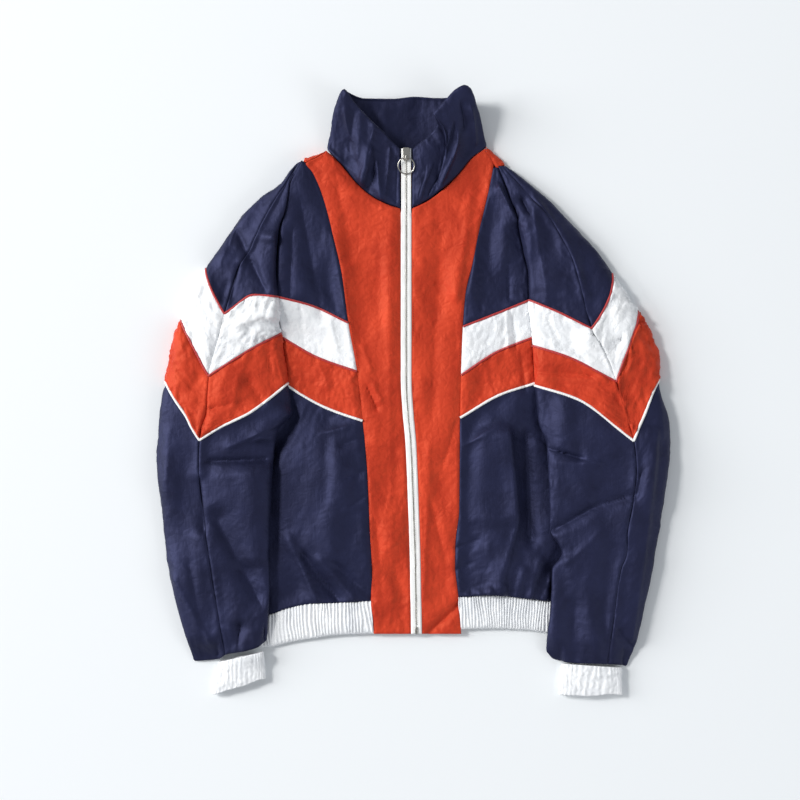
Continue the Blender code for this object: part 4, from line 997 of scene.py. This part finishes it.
def crinkled_nylon(name, colour, lit, tint, height, roughness, gloss):
    """Woven nylon taffeta, crinkled in the wash. Its smooth filament threads give a low silky gloss that
    breaks on sharp little creases. The thread is far too fine to show, so its grain is drawn as streaks
    2.6 mm wide and 22 mm long. Its colour is blended in random patches with a lighter lit copy of it,
    which is painted light."""
    material, tree, shader, place = new_material(name, colour, roughness)
    creases = add_node(tree, "ShaderNodeTexNoise", {
        "Vector": place, "Scale": 1 / (17 * MM), "Detail": 4.0, "Roughness": 0.62, "Lacunarity": 2.1,
        "Distortion": 0.9}, noise_type="RIDGED_MULTIFRACTAL").outputs["Fac"]
    bend = add_node(tree, "ShaderNodeTexNoise", {
        "Vector": place, "Scale": 1 / (14 * MM), "Detail": 2.0}).outputs["Color"]
    shift = add_node(tree, "ShaderNodeVectorMath", {0: bend, "Scale": 9 * MM}, operation="SCALE")
    bent = add_node(tree, "ShaderNodeVectorMath", {0: place, 1: shift.outputs[0]}, operation="ADD")
    facets = add_node(tree, "ShaderNodeTexVoronoi", {
        "Vector": bent.outputs[0], "Scale": 1 / (10 * MM)}, feature="DISTANCE_TO_EDGE").outputs["Distance"]
    stretched = add_node(tree, "ShaderNodeMapping", {
        "Vector": place, "Scale": (1 / (2.6 * MM), 1 / (22 * MM), 1 / (3 * MM))}).outputs["Vector"]
    grain = add_node(tree, "ShaderNodeTexNoise", {
        "Vector": stretched, "Scale": 1.0, "Detail": 3.0}).outputs["Fac"]
    folded = add_node(tree, "ShaderNodeBump", {"Height": creases, "Distance": height * MM, "Strength": 1.0})
    edged = add_node(tree, "ShaderNodeBump", {
        "Height": facets, "Distance": 1.2 * height * MM, "Strength": 1.0,
        "Normal": folded.outputs["Normal"]})
    woven = add_node(tree, "ShaderNodeBump", {
        "Height": grain, "Distance": 0.2 * MM, "Strength": 1.0, "Normal": edged.outputs["Normal"]})
    tree.links.new(woven.outputs["Normal"], shader.inputs["Normal"])
    # Painted light: random patches about 38 mm across blend the cloth's colour towards its lighter lit
    # copy.
    patches = add_node(tree, "ShaderNodeTexNoise", {
        "Vector": place, "Scale": 1 / (38 * MM), "Detail": 4.0, "Roughness": 0.6}).outputs["Fac"]
    lit_share = add_node(tree, "ShaderNodeMapRange", {
        "Value": patches, "From Min": 0.35, "From Max": 0.7}).outputs["Result"]
    shade = add_node(tree, "ShaderNodeMix", {"Factor": lit_share}, data_type="RGBA")
    shade.inputs[6].default_value = (*colour, 1)
    shade.inputs[7].default_value = (*linear(lit), 1)
    tree.links.new(shade.outputs[2], shader.inputs["Base Color"])
    shader.inputs["Specular IOR Level"].default_value = gloss
    shader.inputs["Specular Tint"].default_value = (*linear(tint), 1)
    return material


def satin_piping(name, colour):
    """Bias-cut satin over a cord: a smooth soft gloss with a fine diagonal twill, drawn at 2 mm."""
    material, tree, shader, place = new_material(name, colour, 0.42)
    turned = add_node(tree, "ShaderNodeMapping", {
        "Vector": place, "Rotation": (0, 0, math.radians(35))}).outputs["Vector"]
    twill = add_node(tree, "ShaderNodeTexWave", {
        "Vector": turned, "Scale": 1 / (12 * MM), "Distortion": 2.0, "Detail": 1.0}).outputs["Fac"]
    ribbed = add_node(tree, "ShaderNodeBump", {"Height": twill, "Distance": 0.15 * MM})
    tree.links.new(ribbed.outputs["Normal"], shader.inputs["Normal"])
    shader.inputs["Sheen Weight"].default_value = 0.2
    return material


def woven_tape(name, colour):
    """Polyester herringbone zip tape: matt, with ribs that run along it, drawn at 1.2 mm."""
    material, tree, shader, place = new_material(name, colour, 0.75)
    ribs = add_node(tree, "ShaderNodeTexWave", {
        "Vector": place, "Scale": 1 / (7.5 * MM), "Distortion": 0.6}, bands_direction="X").outputs["Fac"]
    picks = add_node(tree, "ShaderNodeTexWave", {
        "Vector": place, "Scale": 1 / (9 * MM), "Distortion": 1.0}, bands_direction="Y").outputs["Fac"]
    both = add_node(tree, "ShaderNodeMath", {0: ribs, 1: picks}, operation="MULTIPLY").outputs[0]
    raised = add_node(tree, "ShaderNodeBump", {"Height": both, "Distance": 0.25 * MM})
    tree.links.new(raised.outputs["Normal"], shader.inputs["Normal"])
    return material


def polished_nickel(name, colour):
    """Nickel plate on die-cast zinc, tumbled bright: mirror-like, with faint rounding wear."""
    material, tree, shader, place = new_material(name, colour, 0.24, 1.0)
    wear = add_node(tree, "ShaderNodeTexNoise", {
        "Vector": place, "Scale": 1 / (2.5 * MM), "Detail": 3.0}).outputs["Fac"]
    rough = add_node(tree, "ShaderNodeMapRange", {
        "Value": wear, "To Min": 0.18, "To Max": 0.36}).outputs["Result"]
    tree.links.new(rough, shader.inputs["Roughness"])
    return material


def sewing_thread(name, colour):
    """Spun polyester thread: matt, with a short twist. It is darker than its cloth: partly the thread's own
    colour, partly the shade of the needle holes painted into it.
    """
    material, tree, shader, place = new_material(name, colour, 0.7)
    twist = add_node(tree, "ShaderNodeTexWave", {"Vector": place, "Scale": 1 / (5 * MM)}).outputs["Fac"]
    raised = add_node(tree, "ShaderNodeBump", {"Height": twist, "Distance": 0.1 * MM})
    tree.links.new(raised.outputs["Normal"], shader.inputs["Normal"])
    return material


def matt_floor(name, colour):
    """Seamless studio paper: matt, all but even, with a very faint mottle."""
    material, tree, shader, place = new_material(name, colour, 0.9)
    mottle = add_node(tree, "ShaderNodeTexNoise", {
        "Vector": place, "Scale": 1.2, "Detail": 1.0}).outputs["Fac"]
    shade = add_node(tree, "ShaderNodeMapRange", {
        "Value": mottle, "To Min": 0.98, "To Max": 1.0}).outputs["Result"]
    tinted = add_node(tree, "ShaderNodeVectorMath", {0: colour, "Scale": shade}, operation="SCALE")
    tree.links.new(tinted.outputs[0], shader.inputs["Base Color"])
    return material


# By the record's slots, and for the thread and the floor: name, maker, and for the nylons their lit colour
# (a lighter copy, painted in random patches as painted light), tint of the gloss, crease height in mm,
# roughness and gloss.
FINISHES = {
    "navy_nylon": ("navy crinkled nylon taffeta", crinkled_nylon, "#191c33", "#a4aaea", 0.38, 0.6, 0.8),
    "red_nylon": ("red crinkled nylon taffeta", crinkled_nylon, "#cf432b", "#ff9a6a", 0.8, 0.55, 0.6),
    "white_nylon": ("white crinkled nylon taffeta", crinkled_nylon, "#f8f9fa", "#ffffff", 0.8, 0.6, 0.3),
    "red_piping": ("red satin piping", satin_piping),
    "white_piping": ("white satin piping", satin_piping),
    "zip_tape": ("woven polyester zip tape", woven_tape),
    "nickel": ("polished nickel plate", polished_nickel),
    "red_thread": ("red polyester thread", sewing_thread),
    "floor": ("matt pale floor", matt_floor),
}


def finish_of(slot):
    """The material of a slot, made on first use from the panel's colours."""
    name, make, *look = FINISHES[slot]
    colour = tuple(getattr(bpy.context.scene.jacket_colours, slot))
    return bpy.data.materials.get(name) or make(name, colour, *look)


def grid_faces(columns, rows, ring=False, flip=False):
    """Quads of a grid of points as an array of corner numbers."""
    i = np.arange(columns if ring else columns - 1)[:, None]
    j = np.arange(rows - 1)[None, :]
    k = (i + 1) % columns
    corners = (i * rows + j, k * rows + j, k * rows + j + 1, i * rows + j + 1)
    quads = np.stack(corners, axis=-1).reshape(-1, 4)
    return quads[:, ::-1] if flip else quads


def build_mesh(name, points, quads, slot, smooth_faces=True):
    """Piece from points in millimetres and quads, with its finish."""
    mesh = bpy.data.meshes.new(name)
    mesh.vertices.add(len(points))
    mesh.vertices.foreach_set("co", (np.asarray(points, float) * MM).ravel())
    mesh.loops.add(quads.size)
    mesh.loops.foreach_set("vertex_index", np.ascontiguousarray(quads).ravel())
    mesh.polygons.add(len(quads))
    mesh.polygons.foreach_set("loop_start", np.arange(len(quads)) * quads.shape[1])
    mesh.update(calc_edges=True)
    mesh.validate()
    if smooth_faces:
        mesh.shade_smooth()
    mesh.materials.append(finish_of(slot))
    piece = bpy.data.objects.new(name, mesh)
    bpy.context.scene.collection.objects.link(piece)
    return piece


def build_surface(name, grid, slot, ring=False, flip=False, thick=0.0):
    """Open surface or thin wall over a grid; a ring closes on itself in its first direction."""
    quads = grid_faces(*grid.shape[:2], ring, flip)
    piece = build_mesh(name, grid.reshape(-1, 3), quads, slot)
    if thick:
        wall = piece.modifiers.new("thickness", "SOLIDIFY")
        wall.thickness = thick
        wall.offset = -1
    return piece


def build_tube(name, rim, slot, ring=False):
    """Closed tube from its rims: its ends shrink to a point, or meet in a ring."""
    if ring:
        sides, count = rim.shape[:2]
        quads = grid_faces(count, sides + 1, ring=True)
        i, j = quads // (sides + 1), quads % (sides + 1) % sides
        return build_mesh(name, rim.reshape(-1, 3), j * count + i, slot)
    middle = 0 * rim + rim.mean(axis=0, keepdims=True)
    rim = np.concatenate([middle[:, :1], rim, middle[:, -1:]], axis=1)
    return build_mesh(name, rim.reshape(-1, 3), grid_faces(*rim.shape[:2], ring=True), slot)


def dress(piece, node, body="jacket"):
    """Attach a piece to its body, and hide the CAD node that it stands for, if one is given."""
    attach(piece, body)
    if node:
        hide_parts(node)
    return piece


def cloth_piece(node, grid, slot, out, seed, flip=False, crinkle=1.0, thick=None):
    """Crinkled cloth over a creased grid, kept above the floor, as a thin wall."""
    height, size = CRINKLE[slot]
    grid = finish_cloth(grid, out, height * crinkle, size, seed)
    grid[..., 2] = np.maximum(grid[..., 2], FLOOR_GAP)
    thick = thick or bpy.context.scene.jacket_sizes.cloth_thickness
    return dress(build_surface(f"{node}_cloth", grid, slot, flip=flip, thick=thick), node)


def casing(node, grid, flip, ring=False):
    """Gathered white casing over a grid, as a thin wall."""
    thick = bpy.context.scene.jacket_sizes.elastic_thickness
    piece = build_surface(f"{node}_elastic", grid, "white_nylon", ring=ring, flip=flip, thick=thick)
    dress(piece, node)


def lay_piping(node, path, normal, slot):
    """Piping along a seam: a cord in a fold of satin, a little uneven, moved along its outward normal."""
    sizes = bpy.context.scene.jacket_sizes
    radius = (sizes.white_piping_radius if slot == "white_piping" else sizes.red_piping_radius) / MM
    slub = radius * (1 + PIPING_SLUB * noise(np.arange(len(path)) / 5.0, np.zeros(len(path)), 3))
    rim = tube(path + normal * PIPING_LIFT * radius, slub, slub, 12)
    return dress(build_tube(f"{node}_cord", rim, slot), node)


def resample(path, pitch):
    """Points at even spacing along a path, in whole arrays."""
    way = np.concatenate([[0], np.cumsum(np.linalg.norm(np.diff(path, axis=0), axis=1))])
    at = np.arange(pitch, way[-1] - pitch, pitch)
    return np.stack([np.interp(at, way, path[:, n]) for n in range(3)], axis=1)


def sew_line(name, x, y):
    """Row of red stitches on the fronts: eight-sided dashes of thread at an even pitch along a path."""
    path = np.stack([x, y, front_height(x, y) + STITCH_LIFT], axis=1)
    spots = resample(path, bpy.context.scene.jacket_sizes.stitch_pitch / MM)
    along = unit(np.gradient(spots, axis=0))
    aside = unit(np.cross(along, (0.0, 0.0, 1.0)))
    up = np.cross(aside, along)
    long, wide, high = STITCH_SIZE
    corners = np.stack([spots - along * long, spots - aside * wide, spots + along * long,
                        spots + aside * wide, spots + up * high, spots - up * high], axis=1)
    dash = np.array(((0, 1, 4), (1, 2, 4), (2, 3, 4), (3, 0, 4),
                     (1, 0, 5), (2, 1, 5), (3, 2, 5), (0, 3, 5)))
    faces = (np.arange(len(spots))[:, None, None] * 6 + dash[None]).reshape(-1, 3)
    dress(build_mesh(name, corners.reshape(-1, 3), faces, "red_thread", False), None)


def length_property(name, description, default, low, high):
    """A length in metres that the user may change."""
    return bpy.props.FloatProperty(name=name, description=description, default=default, min=low, max=high,
                                   unit="LENGTH")


def colour_property(name, description, code):
    """A colour that the user may change, from its sRGB hex value."""
    return bpy.props.FloatVectorProperty(name=name, description=description, default=linear(code), min=0,
                                         max=1, subtype="COLOR")


class JacketSizes(bpy.types.PropertyGroup):
    """Sizes of the sewing and trimmings that the frame's solids don't hold."""

    cloth_thickness: length_property("Cloth", "Thickness of the nylon panels", 0.0006, 0.0002, 0.002)
    collar_thickness: length_property("Collar", "Thickness of the doubled collar", 0.0013, 0.0006, 0.003)
    elastic_thickness: length_property(
        "Hem and cuffs", "Thickness of the gathered elastic casing", 0.0012, 0.0006, 0.003)
    red_piping_radius: length_property("Red piping", "Radius of the red piping", 0.0015, 0.0005, 0.003)
    white_piping_radius: length_property(
        "White piping", "Radius of the white piping", 0.0018, 0.0005, 0.003)
    tooth_pitch: length_property(
        "Tooth pitch", "Spacing of the zip teeth on one tape", 0.0026, 0.001, 0.005)
    stitch_pitch: length_property("Stitch", "Length from one stitch to the next", 0.0033, 0.0015, 0.006)
    camera_height: length_property("Camera height", "Height of the camera above the floor", 2.6, 1.0, 6.0)
    view_width: length_property(
        "View width", "Width that the picture covers at the garment", 1.088, 0.5, 3.0)


class JacketColours(bpy.types.PropertyGroup):
    """Colours of the cloths, trimmings and surroundings."""

    navy_nylon: colour_property("Navy nylon", "Yokes, lower fronts, back, sleeves and collar", "#0e1022")
    red_nylon: colour_property("Red nylon", "Centre fronts, back yoke and chevron bands", "#b83624")
    white_nylon: colour_property("White nylon", "Chevron bands, hem and cuffs", "#e8eaed")
    red_piping: colour_property("Red piping", "Piping above and below the white band", "#b23030")
    white_piping: colour_property("White piping", "Piping below the red band", "#f2f2f0")
    zip_tape: colour_property("Zip tape", "Woven tapes of the zip", "#f6f6f4")
    nickel: colour_property("Nickel", "Teeth, slider, ring and bottom box", "#b9b6ae")
    # The thread's colour is darker than the red cloth: its own colour with the needle holes' shade painted
    # in.
    red_thread: colour_property("Red thread", "Stitches on red cloth", "#8c2415")
    floor: colour_property("Floor", "Pale plain floor under the jacket", "#f1f4f6")


class JACKET_OT_fronts(bpy.types.Operator):
    """Build the centre fronts, yokes, bands and lower fronts with the piping in their seams"""

    bl_idname = "jacket.fronts"
    bl_label = "Fronts"

    def execute(self, context):
        for side, sign in SIGN.items():
            flip = side == "l"
            s, v = (steps(size, FRONT_PITCH) for size in PANEL_SIZE)
            grid = centre_front_grid(side, s, v)
            piece = cloth_piece(f"centre_front_{side}", grid, "red_nylon", outward(grid, flip),
                                SEED["centre"] + sign, flip, CENTRE_CRINKLE)
            centre_front_grid(side, s, v, False)
            for name, slot in PIPED.items():
                at = np.linspace(PIPING_START, 1, PIPING_POINTS[0])
                line = front_line(side, name, at)
                x = front_x(side, at, line)
                path = np.stack([x, line, front_height(x, line)], axis=1)
                lay_piping(f"piping_front_{name}_{side}", path, np.array((0, 0, 1.0)), slot)
            for n, (name, upper, lower, slot) in enumerate(FRONT_PIECES):
                middle = np.array(0.5)
                depth = float(front_line(side, upper, middle) - front_line(side, lower, middle))
                s, v = steps(FRONT_WIDTH, FRONT_PITCH), steps(depth, FRONT_PITCH)
                grid = front_grid(side, upper, lower, s, v)
                piece = cloth_piece(f"{name}_{side}", grid, slot, outward(grid, flip),
                                    SEED["front"] + 3 * n + sign, flip)
                front_grid(side, upper, lower, s, v, False)
        return {"FINISHED"}


class JACKET_OT_back(bpy.types.Operator):
    """Build the back's five pieces, flat on the floor, and the two shoulder pieces"""

    bl_idname = "jacket.back"
    bl_label = "Back and shoulders"

    def execute(self, context):
        s = steps(BACK_WIDTH, BACK_PITCH)

        def yoke_end(share):
            return BACK_YOKE_END + 0 * share

        def end(share):
            return hem_top(mix(body_side["r"](HEM_SEAM), body_side["l"](HEM_SEAM), share))

        upper, middle, lower = (back_line(name) for name in ("upper", "middle", "lower"))
        grids = [("back_yoke", back_yoke_grid(s, steps(BACK_YOKE_DEPTH, BACK_PITCH)), "red_nylon")]
        for name, top, foot, depth, slot in (("upper_back", yoke_end, upper, 180, "navy_nylon"),
                                             ("back_band_white", upper, middle, 50, "white_nylon"),
                                             ("back_band_red", middle, lower, 65, "red_nylon"),
                                             ("lower_back", lower, end, 290, "navy_nylon")):
            grids.append((name, back_grid(top, foot, s, steps(depth, BACK_PITCH)), slot))
        for n, (name, plain, slot) in enumerate(grids):
            grid = plain.copy()
            grid[..., 2] += crease(BACK_CREASES, grid[..., 0], grid[..., 1])
            piece = cloth_piece(name, grid, slot, np.array((0.0, 0.0, -1.0)), SEED["back"] + n, flip=True)
        for side in SIGN:
            grid = shoulder_grid(side, *SHOULDER_CELLS)
            flip = side == "r"
            piece = cloth_piece(f"shoulder_{side}", grid, "red_nylon", outward(grid, flip),
                                SEED["shoulder"], flip)
        return {"FINISHED"}


class JACKET_OT_sleeves(bpy.types.Operator):
    """Build the four pieces of each sleeve in front and back halves, with the piping in their seams"""

    bl_idname = "jacket.sleeves"
    bl_label = "Sleeves"

    def execute(self, context):
        lap = math.acos(1 - 2 * UNDERARM_SEAM) / math.pi
        over, outer = (steps(size, SLEEVE_FINE) for size in SLEEVE_ROUND)
        over, outer = mix(0, OVERARM_TURN, over), mix(OVERARM_TURN, 1, outer)
        for side, sign in SIGN.items():
            flip = side == "l"
            for name, slot in PIPED.items():
                place = np.linspace(0, 2, PIPING_POINTS[1])
                line = sleeve_line(side, name, place)
                path = sleeve_point(side, place, line)
                above = sleeve_point(side, place, line + 1)
                normal = unit(np.cross(np.gradient(path, axis=0), path - above)) * -sign
                lay_piping(f"piping_sleeve_{name}_{side}", path, normal, slot)
            for n, (name, upper, lower, slot) in enumerate(SLEEVE_PIECES):
                ends = [sleeve_line(side, line, np.array(0.5)) for line in (upper, lower)]
                v = steps(float(ends[0] - ends[1]), SLEEVE_PITCH)
                closed = lower == "end"
                near, back = UNDERSIDE_CELLS
                below = np.linspace(-lap, 0, near + 1)[:-1] if closed else np.zeros(0)
                far = 2 - (lap if closed else ARMHOLE_LAP)
                turns = {"front": np.concatenate([below, over]),
                         "back": np.concatenate([outer, np.linspace(1, far, back + 1)[1:]])}
                crinkle = 1.0 if slot == "navy_nylon" else SLEEVE_CRINKLE
                for half, turn in turns.items():
                    grid = sleeve_grid(side, turn, upper, lower, v)
                    piece = cloth_piece(f"sleeve_{name}_{half}_{side}", grid, slot, outward(grid, flip),
                                        SEED["sleeve"] + 5 * n + sign, flip, crinkle)
                    sleeve_grid(side, turn, upper, lower, v, False)
        return {"FINISHED"}


class JACKET_OT_elastic(bpy.types.Operator):
    """Build the gathered hem across the fronts and back, and the two gathered cuffs"""

    bl_idname = "jacket.elastic"
    bl_label = "Hem and cuffs"

    def execute(self, context):
        for side, sign in SIGN.items():
            flip = side == "l"
            height, size = HEM_CRUMPLE
            grid = hem_front_grid(side, HEM_CELLS[0] * HEM_GATHERS, HEM_CELLS[1])
            grid[..., 2] += height * crumple(grid[..., 0], grid[..., 1], size, SEED["hem"])
            casing(f"hem_front_{side}", grid, flip)
            height, size = CUFF_CRUMPLE
            grid = cuff_grid(side, CUFF_CELLS[0] * CUFF_GATHERS, CUFF_CELLS[1])
            calm = np.minimum(1, 6 * np.linspace(0, 1, grid.shape[1]))[None, :]
            rough = crumple(grid[..., 0] + 2 * grid[..., 2], grid[..., 1], size, SEED["cuff"] + sign)
            grid = grid + outward(grid, flip, ring=True) * (height * calm * rough)[..., None]
            grid[..., 2] = np.maximum(grid[..., 2], FLOOR_GAP)
            casing(f"cuff_{side}", grid, flip, ring=True)
        grid = hem_back_grid(HEM_BACK_CELLS[0] * HEM_BACK_GATHERS, HEM_BACK_CELLS[1])
        grid[..., 2] = np.maximum(grid[..., 2], FLOOR_GAP)
        casing("hem_back", grid, True)
        return {"FINISHED"}


class JACKET_OT_collar(bpy.types.Operator):
    """Build the stand collar, creased and lapped over itself at the wearer's left"""

    bl_idname = "jacket.collar"
    bl_label = "Collar"

    def execute(self, context):
        grid = collar_grid(*COLLAR_CELLS)
        piece = cloth_piece("collar", grid, "navy_nylon", outward(grid, True), SEED["collar"], True,
                            COLLAR_CRINKLE, context.scene.jacket_sizes.collar_thickness)
        collar_grid(*COLLAR_CELLS, False)
        return {"FINISHED"}


class JACKET_OT_zip(bpy.types.Operator):
    """Build the zip: tapes, teeth one by one, bottom box, slider and ring"""

    bl_idname = "jacket.zip"
    bl_label = "Zip"

    def execute(self, context):
        self.build_tapes()
        self.build_teeth(context.scene.jacket_sizes.tooth_pitch / MM)
        self.build_box()
        self.build_slider()
        self.build_ring()
        return {"FINISHED"}

    def build_tapes(self):
        """Two woven strips beside the zip line, their outer half tucked under the centre fronts."""
        across, down = TAPE_CELLS
        y = np.linspace(TAPE_TOP, ZIP_END, down + 1)[None, :]
        start, run = TAPE_NARROWS
        for side, sign in SIGN.items():
            widest = mix(TAPE_WIDTH, TAPE_COLLAR_EDGE, ease((y - start) / run))
            away = mix(TAPE_INNER, widest, np.linspace(0, 1, across + 1)[:, None])
            cockle = TAPE_COCKLE * noise(y / COCKLE_SIZE[0] + 40 * sign, away / COCKLE_SIZE[1], 17)
            tucked = TAPE_TUCK * ease(0.5 + (away - TAPE_EDGE) / TUCK_RUN)
            high = zip_height(y) + TAPE_RISE + cockle - tucked
            grid = np.stack([zip_line(y) + sign * away, y + 0 * away, high], axis=-1)
            piece = build_surface(f"zip_tape_{side}_woven", grid, "zip_tape", flip=side == "r",
                                  thick=TAPE_WALL)
            dress(piece, f"zip_tape_{side}")

    def build_teeth(self, pitch):
        """Teeth as tapered blocks, in turn on the one and on the other side of the zip line."""
        index = np.arange(2 * int((TEETH_TOP - TEETH_END) / pitch))
        at = TEETH_TOP - (index + 0.5) * pitch / 2
        aside = np.where(index % 2, TOOTH_OFFSET, -TOOTH_OFFSET)
        centre = np.stack([zip_line(at) + aside, at, zip_height(at) + TOOTH_RISE], axis=1)
        turn = np.array(((-1, -1, 1), (1, -1, 1), (1, 1, 1), (-1, 1, 1)), float)
        tooth = np.concatenate([turn * TOOTH_FOOT, turn * TOOTH_HEAD])
        points = (centre[:, None] + tooth[None]).reshape(-1, 3)
        sides = np.array(((0, 1, 5, 4), (1, 2, 6, 5), (2, 3, 7, 6),
                          (3, 0, 4, 7), (4, 5, 6, 7), (3, 2, 1, 0)))
        quads = (index[:, None, None] * 8 + sides[None]).reshape(-1, 4)
        dress(build_mesh("zip_teeth_row", points, quads, "nickel", False), "zip_teeth")

    def build_box(self):
        """Bottom box as a rounded block."""
        wide, long, high = BOX_SIZE
        x, low = float(zip_line(ZIP_END)), ZIP_END + BOX_LIFT
        z = float(zip_height(np.array(float(ZIP_END)))) - BOX_DEPTH
        grid = rounded_block((x - wide / 2, low, z), (x + wide / 2, low + long, z + high), BOX_ROUND)
        piece = build_surface("zip_box_cast", grid, "nickel", ring=True, flip=True)
        dress(close_poles(piece), "zip_box")

    def build_slider(self):
        """Slider as a tapered rounded block, with a flat-sided arch over it for the ring."""
        x = RING_AXIS[0]
        low, top = SLIDER_PLATE
        near, far = SLIDER_Y
        plate = rounded_block((x - SLIDER_HALF, near, low - SLIDER_DEPTH), (x + SLIDER_HALF, far, top),
                              SLIDER_ROUND, SLIDER_TAPER)
        body = build_surface("zip_slider_body", plate, "nickel", ring=True, flip=True)
        dress(close_poles(body), "zip_slider")
        first, last = LUG_Y
        arch = np.linspace(0, np.pi, 25)
        half = (last - first - LUG_WALL) / 2
        lift = LUG_ROOM + LUG_WALL / 2 + LUG_FOOT
        y = (first + last) / 2 - half * squared(np.cos(arch), 0.5)
        z = top - LUG_FOOT + lift * np.sin(arch) ** 0.5
        rim = tube(np.stack([x + 0 * y, y, z], axis=1), LUG_HALF, LUG_WALL / 2, 12, (1.0, 0.0, 0.0), 0.5)
        dress(build_tube("zip_slider_lug", rim, "nickel"), None)

    def build_ring(self):
        """Ring of round wire that hangs from the hinge line, tilted down to the tape."""
        tilt = math.radians(RING_TILT)
        down = np.array((0.0, -math.cos(tilt), -math.sin(tilt)))
        axis = np.array((0.0, -math.sin(tilt), math.cos(tilt)))
        around, section = RING_CELLS
        turn = 2 * np.pi * np.arange(around)[:, None] / around
        out = np.sin(turn) * np.array((1.0, 0.0, 0.0)) - np.cos(turn) * down
        path = np.array(RING_AXIS) + RING_RADIUS * (down + out)
        angle = 2 * np.pi * np.arange(section)[:, None, None] / section
        rim = path + RING_WIRE * (np.cos(angle) * out + np.sin(angle) * axis)
        dress(build_tube("pull_ring_wire", rim, "nickel", ring=True), "zip_ring", "pull_ring")


class JACKET_OT_stitches(bpy.types.Operator):
    """Sew the rows of stitches beside the seams"""

    bl_idname = "jacket.stitches"
    bl_label = "Stitches"

    def execute(self, context):
        for side, sign in SIGN.items():
            y = np.linspace(*EDGE_STITCHED)
            sew_line(f"stitch_panel_{side}", panel_edge[side](y) - sign * EDGE_STITCH, y)
            y = np.linspace(*ZIP_STITCHED)
            sew_line(f"stitch_zip_{side}", zip_line(y) + sign * (ZIP_OPENING + ZIP_STITCH), y)
        return {"FINISHED"}


class JACKET_OT_stage(bpy.types.Operator):
    """Set the floor, the studio light and the camera straight above"""

    bl_idname = "jacket.stage"
    bl_label = "Floor, light and camera"

    def execute(self, context):
        scene = context.scene
        sizes = scene.jacket_sizes
        corners = np.array(((-1, -1, 0), (1, -1, 0), (1, 1, 0), (-1, 1, 0))) * float(FLOOR_HALF)
        floor = build_mesh("floor", corners + (0, 0, FLOOR_LEVEL), np.array(((0, 1, 2, 3),)), "floor")
        camera = bpy.data.cameras.new("overhead")
        camera.lens = camera.sensor_width * (sizes.camera_height - VIEW_LEVEL) / sizes.view_width
        eye = bpy.data.objects.new("overhead", camera)
        eye.location = (PICTURE_CENTRE[0] * MM, PICTURE_CENTRE[1] * MM, sizes.camera_height)
        scene.collection.objects.link(eye)
        scene.camera = eye
        for name, place, size, power, colour in LAMPS:
            lamp = bpy.data.lights.new(name, "AREA")
            lamp.size = size
            lamp.energy = power
            lamp.color = colour
            holder = bpy.data.objects.new(name, lamp)
            holder.location = place
            holder.rotation_euler = Vector(place).to_track_quat("Z", "Y").to_euler()
            scene.collection.objects.link(holder)
        world = bpy.data.worlds.new("studio")
        world.use_nodes = True
        sky = world.node_tree.nodes["Background"]
        sky.inputs["Color"].default_value = (*linear(SKY), 1)
        sky.inputs["Strength"].default_value = SKY_STRENGTH
        scene.world = world
        scene.view_settings.view_transform = "Standard"
        return {"FINISHED"}


class JACKET_PT_panel(bpy.types.Panel):
    """Sidebar panel with the jacket's sizes, colours and build steps"""

    bl_label = "Windbreaker Jacket"
    bl_idname = "JACKET_PT_panel"
    bl_space_type = "VIEW_3D"
    bl_region_type = "UI"
    bl_category = "Jacket"

    def draw(self, context):
        for group in (context.scene.jacket_sizes, context.scene.jacket_colours):
            box = self.layout.box()
            for name in group.__annotations__:
                box.prop(group, name)
        for step in BUILD_STEPS:
            self.layout.operator(step.bl_idname)


BUILD_STEPS = (JACKET_OT_back, JACKET_OT_fronts, JACKET_OT_sleeves, JACKET_OT_elastic, JACKET_OT_collar,
               JACKET_OT_zip, JACKET_OT_stitches, JACKET_OT_stage)
CLASSES = (JacketSizes, JacketColours, *BUILD_STEPS, JACKET_PT_panel)


def register():
    """Register the classes and hang both property groups on the scene."""
    for kind in CLASSES:
        bpy.utils.register_class(kind)
    bpy.types.Scene.jacket_sizes = bpy.props.PointerProperty(type=JacketSizes)
    bpy.types.Scene.jacket_colours = bpy.props.PointerProperty(type=JacketColours)


def unregister():
    """Take the property groups and the classes away again."""
    del bpy.types.Scene.jacket_sizes
    del bpy.types.Scene.jacket_colours
    for kind in reversed(CLASSES):
        bpy.utils.unregister_class(kind)


def main():
    """Register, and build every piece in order."""
    register()
    for step in BUILD_STEPS:
        group, name = step.bl_idname.split(".")
        getattr(getattr(bpy.ops, group), name)()


if __name__ == "__main__":
    main()
